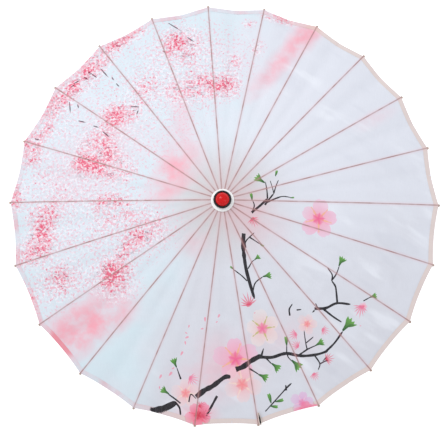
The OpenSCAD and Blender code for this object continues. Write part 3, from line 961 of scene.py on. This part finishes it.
def plan_rows(gore):
    """Rows of plan points from the hub end to the hem."""
    count = int(round((HEM_ALONG - CLOTH_FROM) / gore.cloth.row_step))
    rows = []
    for along in np.linspace(CLOTH_FROM, HEM_ALONG, count + 1):
        turns = gore.columns(on_rib(along, gore.cloth.gap)[0])
        r, _ = gore.spread(np.full(len(turns), along), turns, gore.cloth.gap)
        a = gore.heading + turns
        rows.append(np.stack([r * np.cos(a), r * np.sin(a)], 1))
    return rows


def cut_panel(gore, shapes):
    """Triangles of one gore on the plan, cut along every outline that crosses it, in millimetres."""
    rows = [row / MM for row in plan_rows(gore)]
    rim = np.vstack([rows[0], [row[-1] for row in rows[1:-1]], rows[-1][::-1],
                     [row[0] for row in rows[-2:0:-1]]])
    points = [rim, *(row[1:-1] for row in rows[1:-1])]
    edges = [(i, (i + 1) % len(rim)) for i in range(len(rim))]
    total = sum(map(len, points))
    low, high = rim.min(0) - 2, rim.max(0) + 2
    used = [s for s in shapes if (s.high > low).all() and (s.low < high).all()]
    for s in used:
        points.append(s.outline)
        size = len(s.outline)
        edges += [(total + i, total + (i + 1) % size) for i in range(size)]
        total += size
    flat = np.vstack(points)
    out = delaunay_2d_cdt([Vector(p) for p in flat], edges, [], 0, 1e-4, False)
    verts = np.array([tuple(v) for v in out[0]])
    faces = np.array([f for f in out[2] if len(f) == 3])
    a, b, c = (verts[faces[:, i]] for i in range(3))
    area = 0.5 * ((b - a)[:, 0] * (c - a)[:, 1] - (b - a)[:, 1] * (c - a)[:, 0])
    faces[area < 0] = faces[area < 0][:, ::-1]
    middle = (a + b + c) / 3
    keep = Shape(rim, None).holds(middle) & (np.abs(area) > 1e-5)
    faces, middle = faces[keep], middle[keep]
    chosen, faces = np.unique(faces, return_inverse=True)
    return verts[chosen], faces.reshape(-1, 3), middle, used


def painted(shapes, places, corners):
    """Colour and cover of the picture at each corner: a shape lies over the ones before it."""
    paint = np.zeros((len(places), 4))
    for s in shapes:
        hit = s.holds(places)
        if hit.any():
            over, under = s.shade(corners[hit]), paint[hit]
            cover = over[:, 3:]
            alpha = cover + under[:, 3:] * (1 - cover)
            mixed = over[:, :3] * cover + under[:, :3] * under[:, 3:] * (1 - cover)
            paint[hit] = np.hstack([mixed / np.maximum(alpha, 1e-6), alpha])
    return paint


def turn_plan(points, radians):
    """Plan points turned about the shaft."""
    c, s = math.cos(radians), math.sin(radians)
    return points @ np.array([[c, s], [-s, c]])


def crease(mesh, sharp):
    """Marks the edges between the given pairs of points as sharp."""
    pairs = {frozenset(pair) for pair in sharp}
    marks = mesh.attributes.new("sharp_edge", "BOOLEAN", "EDGE")
    marks.data.foreach_set("value", [frozenset(edge.vertices) in pairs for edge in mesh.edges])


def put_mesh(name, verts, faces, material, normals=None, sharp=()):
    """A mesh object with one material; normals are given for each corner."""
    mesh = bpy.data.meshes.new(name)
    mesh.from_pydata([tuple(v) for v in verts], [], [tuple(int(i) for i in f) for f in faces])
    mesh.shade_smooth()
    if normals is not None:
        crease(mesh, sharp)
        mesh.normals_split_custom_set([tuple(v) for v in normals])
    mesh.materials.append(material)
    piece = bpy.data.objects.new(name, mesh)
    bpy.context.scene.collection.objects.link(piece)
    return piece


def add_values(mesh, name, kind, domain, values):
    """A named attribute of the mesh."""
    field = {"FLOAT_VECTOR": "vector", "FLOAT_COLOR": "color"}[kind]
    made = mesh.attributes.new(name, kind, domain)
    made.data.foreach_set(field, np.asarray(values, np.float32).ravel())


def paint_on(mesh, corners):
    """Writes the picture's colour and cover at each corner of the mesh."""
    add_values(mesh, "cloth_paint", "FLOAT_COLOR", "CORNER", corners)


def tints(plan_mm, under):
    """Density of the blossom clouds, strength of the washes and which side it is."""
    ones = np.ones(len(plan_mm))
    return np.stack([cover_of(CLOUDS, plan_mm), cover_of(WASHES, plan_mm), under * ones, ones], 1)


def cloth_piece(name, gore, shapes, material, turn):
    """One gore as a closed sheet: the painted upper side, the underside and the cut edges."""
    verts, faces, middle, used = cut_panel(gore, shapes)
    paint = painted(used, np.repeat(middle, 3, axis=0), verts[faces].reshape(-1, 2))
    x, y = verts.T * MM
    up = gore.cloth.gap
    normal = gore.normals(x, y, up)
    under = np.stack([x, y, gore.height(x, y, up)], 1)
    top = under + normal * gore.cloth.thickness
    count = len(verts)
    pairs = dict.fromkeys((int(a), int(b)) for f in faces for a, b in zip(f, np.roll(f, -1)))
    border = [(a, b) for a, b in pairs if (b, a) not in pairs]
    walls = [(a, b, b + count, a + count) for a, b in border]
    points = np.vstack([under, top])
    listed = [tuple(f + count) for f in faces] + [tuple(f[::-1]) for f in faces] + walls
    corner_normals = [normal[i] for f in faces for i in f]
    corner_normals += [-normal[i] for f in faces for i in f[::-1]]
    for wall in walls:
        p = points[list(wall)]
        out = np.cross(p[1] - p[0], p[2] - p[0])
        corner_normals += [out / (np.linalg.norm(out) + 1e-12)] * 4
    sharp = border + [(a + count, b + count) for a, b in border]
    piece = put_mesh(name, points, listed, material, corner_normals, sharp)
    under_paint = paint.reshape(-1, 3, 4)[:, ::-1].reshape(-1, 4)
    wall_paint = np.zeros((4 * len(walls), 4))
    paint_on(piece.data, np.vstack([paint, under_paint, wall_paint]))
    mark_cloth(piece.data, gore, turn, np.repeat([1.0, 0.0], count))
    return piece


def mark_cloth(mesh, gore, turn, under):
    """Writes where each point lies on the printed picture, and its tints."""
    points = np.array([v.co for v in mesh.vertices])
    r = np.hypot(points[:, 0], points[:, 1])
    aside = r * np.sin(np.arctan2(points[:, 1], points[:, 0]) - gore.heading)
    plan = turn_plan(points[:, :2], -turn)
    add_values(mesh, "cloth_at", "FLOAT_VECTOR", "POINT", np.hstack([plan, aside[:, None]]))
    add_values(mesh, "cloth_tint", "FLOAT_COLOR", "POINT", tints(plan / MM, under))


def tangent(index):
    """Direction round the shaft at a rib."""
    a = HEADINGS[index]
    return (-math.sin(a), math.cos(a), 0.0)


def fold_away(piece, index):
    """The piece rides its rib, with a mesh of its own."""
    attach(piece, RIBS[index])
    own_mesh(piece)


def rings_joined(rings, size):
    """Faces between rings of points that follow each other, and the two ends."""
    faces = []
    for i in range(rings - 1):
        a, b = i * size, (i + 1) * size
        for j in range(size):
            k = (j + 1) % size
            faces.append((a + j, a + k, b + k, b + j))
    ends = [tuple(range(size - 1, -1, -1)), tuple((rings - 1) * size + j for j in range(size))]
    return faces + ends


def tube(points, radius, sides):
    """Vertices and faces of a round tube along points."""
    p = np.asarray(points, float)
    run = np.gradient(p, axis=0)
    run /= np.linalg.norm(run, axis=1)[:, None] + 1e-12
    side = np.cross(run[0], (0.0, 0.0, 1.0) if abs(run[0][2]) < 0.9 else (1.0, 0.0, 0.0))
    verts = []
    turns = np.arange(sides) * 2 * math.pi / sides
    for centre, direction in zip(p, run):
        side = side - direction * (side @ direction)
        side /= np.linalg.norm(side) + 1e-12
        other = np.cross(direction, side)
        for t in turns:
            verts.append(centre + radius * (math.cos(t) * side + math.sin(t) * other))
    return np.array(verts), rings_joined(len(p), sides)


def join_parts(parts):
    """Several (vertices, faces) as one."""
    verts, faces, start = [], [], 0
    for v, f in parts:
        verts.append(v)
        faces += [tuple(i + start for i in face) for face in f]
        start += len(v)
    return np.vstack(verts), faces


def lathe(profile, steps=96):
    """A closed body turned about the shaft from an outline of (radius, height) points."""
    outline = np.asarray(profile, float)
    turns = np.arange(steps) * 2 * math.pi / steps
    verts = [(r * math.cos(t), r * math.sin(t), z) for t in turns for r, z in outline]
    size = len(outline)
    faces = []
    for i in range(steps):
        a, b = i * size, (i + 1) % steps * size
        for j in range(size):
            k = (j + 1) % size
            faces.append((a + j, b + j, b + k, a + k))
    return np.array(verts), faces


def face_outwards(piece):
    """Turns every face of a closed mesh outwards."""
    form = bmesh.new()
    form.from_mesh(piece.data)
    bmesh.ops.recalc_face_normals(form, faces=form.faces)
    form.to_mesh(piece.data)
    form.free()


def smooth_by_angle(piece, degrees):
    """Marks the edges that are sharper than an angle."""
    piece.data.set_sharp_from_angle(angle=math.radians(degrees))


def finish(node, material):
    """Puts a material on a node of the frame."""
    piece = frame["nodes"][node]
    if not piece.material_slots:
        piece.data.materials.append(material)
    for slot in piece.material_slots:
        slot.material = material


# ---------------------------------------------------------------- operators


class UMBRELLA_OT_stage(bpy.types.Operator):
    """Add the pale floor, the soft lights and the camera"""

    bl_idname = "umbrella.stage"
    bl_label = "Stage"

    def execute(self, context):
        settings = context.scene.umbrella_stage
        self.add_floor(settings)
        self.add_lights(context)
        self.add_camera(context, settings)
        context.scene.view_settings.view_transform = "Standard"
        return {"FINISHED"}

    def add_floor(self, settings):
        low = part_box("grip")[0][2]
        half = 3.0
        corners = [(x * half, y * half, low) for x, y in ((-1, -1), (1, -1), (1, 1), (-1, 1))]
        material, n, shader = new_material("pale floor")
        place = n.make("TexCoord").outputs["Object"]
        cloudy = n.noise(place, 3.0, 3.0)
        tone = n.mix(n.step(cloudy, 0.3, 0.7), settings.floor, toned(settings.floor, 0.97))
        feed(n, shader, tone, n.step(cloudy, 0.3, 0.7, 0.85, 0.95))
        seen = n.minus(1.0, n.make("NewGeometry").outputs["Backfacing"])
        n.tree.links.new(seen, shader.inputs["Alpha"])
        shader.inputs["Emission Color"].default_value = (1.0, 1.0, 1.0, 1.0)
        shader.inputs["Emission Strength"].default_value = settings.glow
        floor = put_mesh("floor", corners, [(0, 1, 2, 3)], material)

    def add_lights(self, context):
        world = bpy.data.worlds.new("studio")
        world.use_nodes = True
        sky = world.node_tree.nodes["Background"].inputs
        sky["Color"].default_value = (0.95, 0.97, 1.0, 1.0)
        sky["Strength"].default_value = 0.9
        context.scene.world = world
        aim = Vector((0, 0, 0.45))
        for name, place, size, power in (
            ("soft box", (-0.9, 1.1, 2.4), 1.2, 22.0),
            ("fill", (1.6, -1.2, 1.9), 1.4, 5.0),
        ):
            light = bpy.data.lights.new(name, "AREA")
            light.size, light.energy = size, power
            lamp = bpy.data.objects.new(name, light)
            lamp.location = place
            lamp.rotation_euler = (aim - lamp.location).to_track_quat("-Z", "Y").to_euler()
            context.scene.collection.objects.link(lamp)

    def add_camera(self, context, settings):
        rim_r, rim_z = (float(v) for v in on_rib(RIB_LEN, 0.0))
        e, roll = settings.elevation, settings.roll
        back = Vector((0.0, -math.cos(e), math.sin(e)))
        level, rise = Vector((1.0, 0.0, 0.0)), Vector((0.0, math.sin(e), math.cos(e)))
        right = math.cos(roll) * level + math.sin(roll) * rise
        up = -math.sin(roll) * level + math.cos(roll) * rise
        aim = Vector((0.0, 0.0, rim_z)) - up * settings.drop
        data = bpy.data.cameras.new("camera")
        camera = bpy.data.objects.new("camera", data)
        turn = Matrix((right, up, back)).transposed().to_4x4()
        camera.matrix_world = Matrix.Translation(aim + back * settings.distance) @ turn
        data.sensor_width = 36.0
        data.lens = data.sensor_width * settings.distance * settings.rim_share / (2 * rim_r)
        data.clip_start, data.clip_end = 0.1, 50.0
        context.scene.collection.objects.link(camera)
        context.scene.camera = camera


class UMBRELLA_OT_canopy(bpy.types.Operator):
    """Make the printed canopy, one strip of cloth over each rib"""

    bl_idname = "umbrella.canopy"
    bl_label = "Canopy"

    def execute(self, context):
        cloth, colours = context.scene.umbrella_canopy, context.scene.umbrella_print
        material = oiled_cloth("printed oiled cloth", colours)
        shapes = turned_picture(colours)
        for index in range(len(RIBS)):
            gore = Gore(index, cloth)
            piece = cloth_piece(f"cloth_{index + 1:02d}", gore, shapes, material, colours.turn)
            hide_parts("canopy")
            fold_away(piece, index)
        return {"FINISHED"}


class UMBRELLA_OT_hem(bpy.types.Operator):
    """Turn the canopy's edge into a double hem, one length over each rib"""

    bl_idname = "umbrella.hem"
    bl_label = "Hem"

    def execute(self, context):
        cloth, colours = context.scene.umbrella_canopy, context.scene.umbrella_print
        material = oiled_cloth("hem cloth", colours, hem=True)
        shapes = turned_picture(colours)
        for index in range(len(RIBS)):
            gore = Gore(index, cloth)
            piece = self.hem_piece(f"hem_{index + 1:02d}", gore, shapes, material, colours.turn)
            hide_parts("canopy_hem")
            fold_away(piece, index)
            on_it = [piece]
            if index == TAB_RIB:
                on_it += self.closing_tab(index, gore, material)
        return {"FINISHED"}

    def closing_tab(self, index, gore, tape_cloth):
        """A short loop of tape sewn on edge beside a rib's tip, with a dark pad inside that stands for its
        lining and for the painted shade deep in the slot.
        """
        # millimetres aside from the rib and out past the hem
        loop = [(1.5, -21.0), (1.1, -17.0), (1.0, -8.0), (1.2, -1.0), (2.6, 2.2), (5.0, 2.4), (6.6, 0.0),
                (6.7, -8.0), (6.2, -15.0), (4.2, -18.5), (2.4, -21.0)]
        inside = [(2.4, -14.0), (2.3, -2.0), (3.2, 0.9), (5.0, 1.0), (5.6, -0.6), (5.7, -8.0), (5.3, -13.6)]
        tape = self.standing(gore, spline(loop, 5) * MM, half_thick=0.45 * MM, foot=0.2 * MM,
                             tall=5.0 * MM, lean=1.5 * MM)
        pad = self.flat_pad(gore, np.array(inside) * MM, foot=0.5 * MM, thick=0.9 * MM)
        # the dark pad inside the loop gives it a lining and paints the shade deep in its slot
        dark = twisted_thread("dark lining and painted shade", (0.012, 0.010, 0.012))
        made = []
        for name, (verts, faces), material in (
            ("closing_tab", tape, tape_cloth),
            ("closing_tab_lining_and_shade", pad, dark),
        ):
            piece = put_mesh(name, verts, faces, material)
            face_outwards(piece)
            smooth_by_angle(piece, 40)
            if material is tape_cloth:
                mark_cloth(piece.data, gore, 0.0, np.zeros(len(verts)))
                paint_on(piece.data, np.tile((0.66, 0.58, 0.52, 1.0), (len(piece.data.loops), 1)))
            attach(piece, RIBS[index])
            made.append(piece)
        return made

    def place(self, gore, aside, out, lift):
        """A point beside the rib's tip, at a height above the cloth."""
        r = on_rib(HEM_ALONG + out, 0.0)[0]
        a = gore.heading + aside / r
        x, y = r * math.cos(a), r * math.sin(a)
        along = np.array([HEM_ALONG + min(out, 0.0)])
        z = float(gore.spread(along, np.array([aside / r]), gore.cloth.gap + gore.cloth.thickness)[1][0])
        return (x, y, z + lift)

    def standing(self, gore, line, half_thick, foot, tall, lean):
        """A tape that stands on its edge along a line, leaning to one side."""
        run = np.gradient(line, axis=0)
        run /= np.linalg.norm(run, axis=1)[:, None]
        side = np.stack([-run[:, 1], run[:, 0]], 1) * half_thick
        verts = []
        for (u, v), (su, sv) in zip(line, side):
            tip = lean if u < 4 * MM else 0
            for sign, high in ((1, 0), (1, 1), (-1, 1), (-1, 0)):
                verts.append(self.place(gore, u + sign * su + tip * high, v + sign * sv, foot + tall * high))
        return np.array(verts), rings_joined(len(line), 4)

    def flat_pad(self, gore, outline, foot, thick):
        """A flat pad of one thickness that lies on the cloth."""
        count = len(outline)
        verts = [self.place(gore, u, v, foot + lift) for lift in (0.0, thick) for u, v in outline]
        faces = [tuple(range(count)), tuple(range(2 * count - 1, count - 1, -1))]
        faces += [(i, i + count, (i + 1) % count + count, (i + 1) % count) for i in range(count)]
        return np.array(verts), faces

    def hem_piece(self, name, gore, shapes, material, turn):
        """One length of the hem: the cloth's edge turned over twice, as a ring of points at each column."""
        cloth = gore.cloth
        mid = cloth.thickness / 2
        w = cloth.hem_width
        lap = 0.20 * MM
        sheet = 0.22 * MM
        # points of the turned edge: how far out past the hem line, and how high above the cloth's middle
        outline = [(-w, mid + lap + 0.6 * sheet), (-w + 0.5 * MM, mid + lap + sheet)]
        outline += [(-w * part, mid + lap + sheet) for part in (0.72, 0.48, 0.24, 0)]
        outline += [(0.5 * MM, mid + 0.6 * lap), (0.62 * MM, 0), (0.5 * MM, -mid - 0.6 * lap)]
        outline += [(-w * part, -mid - lap - sheet) for part in (0, 0.5, 1)]
        outline += [(-w, -mid - lap), (0, -mid - lap), (0.3 * MM, 0), (0, mid + lap), (-w, mid + lap)]
        out, lift = np.array(outline).T
        columns = np.concatenate([
            np.linspace(-gore.gaps[0] / 2, 0, 24)[:-1], np.linspace(0, gore.gaps[1] / 2, 24)])
        rings = []
        for t in columns:
            r = gore.spread(HEM_ALONG + out, np.full(len(out), t), cloth.gap)[0]
            x, y = r * math.cos(gore.heading + t), r * math.sin(gore.heading + t)
            rings.append(np.stack([x, y, gore.height(x, y, cloth.gap) + mid + lift], 1))
        verts = np.vstack(rings)
        piece = put_mesh(name, verts, rings_joined(len(columns), len(out)), material)
        smooth_by_angle(piece, 50)
        mark_cloth(piece.data, gore, turn, np.zeros(len(verts)))
        plan = verts[:, :2] / MM
        at_points = painted(shapes, plan, plan)
        paint_on(piece.data, at_points[[corner.vertex_index for corner in piece.data.loops]])
        return piece


class UMBRELLA_OT_crown(bpy.types.Operator):
    """Make the ring of cloth that stays under the cap"""

    bl_idname = "umbrella.crown"
    bl_label = "Cloth under the cap"

    def execute(self, context):
        cloth, colours = context.scene.umbrella_canopy, context.scene.umbrella_print
        top, low = [], []
        for r in np.linspace(CROWN_IN, CROWN_OUT, 5):
            along = (r - HUB_R) / math.cos(OPEN)
            z = float(on_rib(np.array(along), cloth.gap)[1])
            low.append((r, z - 0.02 * MM))
            top.append((r, z + 0.2 * MM))
        verts, faces = lathe(low + top[::-1])
        piece = put_mesh("cloth_crown", verts, faces, bpy.data.materials["printed oiled cloth"])
        smooth_by_angle(piece, 50)
        mark_cloth(piece.data, Gore(0, cloth), colours.turn, np.zeros(len(verts)))
        paint_on(piece.data, np.zeros((len(piece.data.loops), 4)))
        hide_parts("canopy")
        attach(piece, "root")
        return {"FINISHED"}


class UMBRELLA_OT_lacing(bpy.types.Operator):
    """Lace the joints of ribs and stretchers with a two-ply thread"""

    bl_idname = "umbrella.lacing"
    bl_label = "Lacing thread"

    def execute(self, context):
        material = twisted_thread("lacing thread", context.scene.umbrella_wood.thread)
        # a little shorter than the room between two closed joints, so that the ends stay apart
        straight = 5 * MM
        for index in range(len(RIBS)):
            gore = Gore(index, context.scene.umbrella_canopy)
            joint = self.joint(gore.heading)
            parts = []
            for gap, sign in zip(gore.gaps, (-1, 1)):
                clear = joint + sign * straight * np.array(tangent(index))
                middle = (joint + self.joint(gore.heading + sign * gap)) / 2
                parts += self.two_ply(joint, clear, middle)
            verts, faces = join_parts(parts)
            piece = put_mesh(f"lacing_{index + 1:02d}", verts, faces, material)
            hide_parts("lacing_thread")
            fold_away(piece, index)
        return {"FINISHED"}

    def joint(self, a):
        """Where the lacing passes through the joint of the rib at a heading."""
        return np.array([LACE_R * math.cos(a), LACE_R * math.sin(a), LACE_Z])

    def two_ply(self, start, clear, end):
        """Two strands twisted together, straight through the joint's hole and then on to the end."""
        lay, strand_r, apart = 2.4 * MM, 0.24 * MM, 0.22 * MM
        first = np.linalg.norm(clear - start)
        size = first + np.linalg.norm(end - clear)
        turns = size / lay
        at = np.linspace(0, size, int(turns * 7))
        centre = np.stack([np.interp(at, (0, first, size), axis) for axis in zip(start, clear, end)], 1)
        side = np.cross((end - start) / np.linalg.norm(end - start), UP)
        parts = []
        for phase in (0.0, math.pi):
            a = (2 * math.pi * turns * at / size + phase)[:, None]
            parts.append(tube(centre + apart * (np.cos(a) * side + np.sin(a) * UP), strand_r, 5))
        return parts


class UMBRELLA_OT_bindings(bpy.types.Operator):
    """Bind each rib's tip with thread and knot the lacing beside each joint"""

    bl_idname = "umbrella.bindings"
    bl_label = "Bindings"

    def execute(self, context):
        thread = bpy.data.materials["lacing thread"]
        pale = twisted_thread("hem thread", (0.50, 0.40, 0.36))
        for index, rib in enumerate(RIBS):
            side = np.array(tangent(index))
            out = np.cross(side, UP)
            for name, (verts, faces), material in (
                ("knots", join_parts([self.knot(out, side * sign) for sign in (-1, 1)]), thread),
                ("tip_binding", self.tip_wrap(out, side), pale),
            ):
                piece = put_mesh(f"{name}_{index + 1:02d}", verts, faces, material)
                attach(piece, rib)
        return {"FINISHED"}

    def knot(self, out, side):
        """Two turns of thread that lie against one side of the joint."""
        ring_r, thread_r, rise = 0.75 * MM, 0.3 * MM, 0.7 * MM
        centre = LACE_R * out + LACE_Z * UP + side * (RIB_W / 2 + 0.45 * MM)
        t = np.linspace(0, 4 * math.pi, 25)[:-1, None]
        ring = centre + ring_r * (np.cos(t) * out + np.sin(t) * UP) + side * (t / (4 * math.pi) * rise)
        return tube(ring, thread_r, 6)

    def tip_wrap(self, out, side):
        """Close turns of thread round the rib just outside the hem."""
        r = 0.3 * MM
        half_w, half_d = RIB_W / 2 + r, RIB_DEPTH / 2 + r
        turns = 3
        corner = 0.8 * MM
        loop = []
        for right, top, first in ((1, 1, 0), (-1, 1, 90), (-1, -1, 180), (1, -1, 270)):
            for a in np.radians(np.array([0, 45, 90]) + first):
                loop.append((right * (half_w - corner) + corner * math.cos(a),
                             top * (half_d - corner) + corner * math.sin(a)))
        way = []
        start = HEM_ALONG + 1.1 * MM
        for i in range(turns * len(loop)):
            u, v = loop[i % len(loop)]
            reach, height = on_rib(np.array(start + 2.05 * r * i / len(loop)), 0.0)
            drop = r - v + half_d
            way.append(out * (float(reach) - drop * math.sin(OPEN)) + side * u
                       + UP * (float(height) - (drop - r) * math.cos(OPEN)))
        return tube(way, r, 5)


class UMBRELLA_OT_finial(bpy.types.Operator):
    """Make the white cap, the black ring and the red dome"""

    bl_idname = "umbrella.finial"
    bl_label = "Finial"

    def execute(self, context):
        colours = context.scene.umbrella_finial
        white = gloss_plastic("white cap", colours.cap, toned(colours.cap, 0.8), 0.3)
        black = gloss_plastic("black ring", colours.ring, (0.05, 0.03, 0.035), 0.2)
        red = gloss_plastic("red dome", colours.dome, toned(colours.dome, 0.6), 0.12)
        for node, name, slot, material, profile in (
            ("cap", "white_cap", "white_cap", white, self.cap_profile()),
            ("finial_ring", "black_ring", "black_ring", black, self.ring_profile()),
            ("finial_dome", "red_dome", "red_dome", red, self.dome_profile()),
        ):
            verts, faces = lathe(profile, 128)
            piece = put_mesh(name, verts, faces, material)
            smooth_by_angle(piece, 40)
            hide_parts(node)
            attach(piece, "root")
        return {"FINISHED"}

    def cap_profile(self):
        """The cap follows the cloth's slope and has a soft rolled rim."""
        low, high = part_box("cap")
        rim, foot, top = high[0], low[2], high[2]
        hole_r, seat_r, flat_r, soft = 2.1 * MM, 12.6 * MM, 14.0 * MM, 0.8 * MM
        profile = [(hole_r, top - 2.0 * MM), (seat_r, top - 2.0 * MM), (rim - 1.0 * MM, foot + 0.25 * MM)]
        for a in np.radians(np.arange(-90, 91, 15)):
            profile.append((rim - soft + soft * math.cos(a), foot + soft + soft * math.sin(a)))
        for t in np.linspace(0.15, 1, 8):
            inwards = (rim - 15.2 * MM) * t
            rise = inwards * math.tan(OPEN) * (1.0 + 0.12 * math.sin(math.pi * t))
            profile.append((rim - soft - inwards, foot + 2 * soft + rise))
        profile += [(flat_r, top), (hole_r, top)]
        return profile

    def ring_profile(self):
        """The ring is soft at both edges and has a lip round the dome's seat."""
        low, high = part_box("finial_ring")
        r, foot, top = high[0], low[2], high[2]
        soft, hole_r, seat = 1.9 * MM, 3.1 * MM, top - 1.95 * MM
        profile = [(hole_r, foot), (r - soft, foot)]
        for middle, turns in ((foot + soft, np.arange(-80, 1, 16)), (top - soft, np.arange(0, 91, 15))):
            for a in np.radians(turns):
                profile.append((r - soft + soft * math.cos(a), middle + soft * math.sin(a)))
        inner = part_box("finial_dome")[1][0] + 0.25 * MM
        profile += [(inner + 0.5 * MM, top), (inner + 0.12 * MM, top - 0.15 * MM), (inner, top - 0.6 * MM),
                    (inner, seat), (hole_r, seat)]
        return profile

    def dome_profile(self):
        """The dome is a low cap of a ball on a short straight foot."""
        low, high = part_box("finial_dome")
        r, foot, top = high[0], low[2], high[2]
        shoulder = foot + 2.2 * MM
        tall = top - shoulder
        big = (r * r + tall * tall) / (2 * tall)
        reach = math.asin(min(1.0, r / big))
        profile = [(0.0, foot), (r - 0.4 * MM, foot), (r, foot + 0.4 * MM), (r, shoulder - 0.5 * MM)]
        for a in np.linspace(reach * 0.97, 0, 24):
            profile.append((big * math.sin(a), top - big + big * math.cos(a)))
        return profile


class UMBRELLA_OT_wood(bpy.types.Operator):
    """Give the ribs, stretchers, hub, runner, shaft and grip their wood"""

    bl_idname = "umbrella.wood"
    bl_label = "Wood"

    def execute(self, context):
        colours = context.scene.umbrella_wood
        slope = math.tan(OPEN)
        rib_wood = straight_wood("rib wood", colours.rib, slope)
        stretcher_wood = straight_wood("stretcher wood", toned(colours.rib, 0.94), -slope)
        shaft_wood = straight_wood("shaft wood", colours.shaft, gloss=0.34)
        hub_wood = turned_wood("hub wood", colours.hub)
        for name in RIBS:
            finish(name, rib_wood)
        for name in STRETCHERS:
            finish(name, stretcher_wood)
        for name in ("top_hub", "runner"):
            finish(name, hub_wood)
        for name in ("shaft", "grip"):
            finish(name, shaft_wood)
        return {"FINISHED"}


class UMBRELLA_OT_metal(bpy.types.Operator):
    """Give the wires, the catch and the screw their steel"""

    bl_idname = "umbrella.metal"
    bl_label = "Metal"

    def execute(self, context):
        steel = drawn_steel("drawn steel")
        strip = drawn_steel("spring strip", (0.52, 0.52, 0.54))
        for name in ("hub_wire", "runner_wire", "catch_pin", "finial_screw"):
            finish(name, steel)
        finish("catch_lever", strip)
        return {"FINISHED"}


class UMBRELLA_PT_parts(bpy.types.Panel):
    """Lists the umbrella's pieces"""

    bl_idname = "UMBRELLA_PT_parts"
    bl_label = "Umbrella"
    bl_space_type = "VIEW_3D"
    bl_region_type = "UI"
    bl_category = "Umbrella"

    def draw(self, context):
        for operator in OPERATORS:
            self.layout.operator(operator.bl_idname)


SETTINGS = {
    "umbrella_canopy": CanopySettings,
    "umbrella_print": PrintSettings,
    "umbrella_wood": WoodSettings,
    "umbrella_finial": FinialSettings,
    "umbrella_stage": StageSettings,
}
OPERATORS = (
    UMBRELLA_OT_stage, UMBRELLA_OT_canopy, UMBRELLA_OT_hem, UMBRELLA_OT_crown, UMBRELLA_OT_lacing,
    UMBRELLA_OT_bindings, UMBRELLA_OT_finial, UMBRELLA_OT_wood, UMBRELLA_OT_metal,
)


def register():
    for kind in (*SETTINGS.values(), *OPERATORS, UMBRELLA_PT_parts):
        bpy.utils.register_class(kind)
    for name, kind in SETTINGS.items():
        setattr(bpy.types.Scene, name, bpy.props.PointerProperty(type=kind))


def unregister():
    for name in SETTINGS:
        delattr(bpy.types.Scene, name)
    for kind in (UMBRELLA_PT_parts, *OPERATORS[::-1], *list(SETTINGS.values())[::-1]):
        bpy.utils.unregister_class(kind)


def main():
    register()
    for operator in OPERATORS:
        group, name = operator.bl_idname.split(".")
        getattr(getattr(bpy.ops, group), name)()


if __name__ == "__main__":
    main()
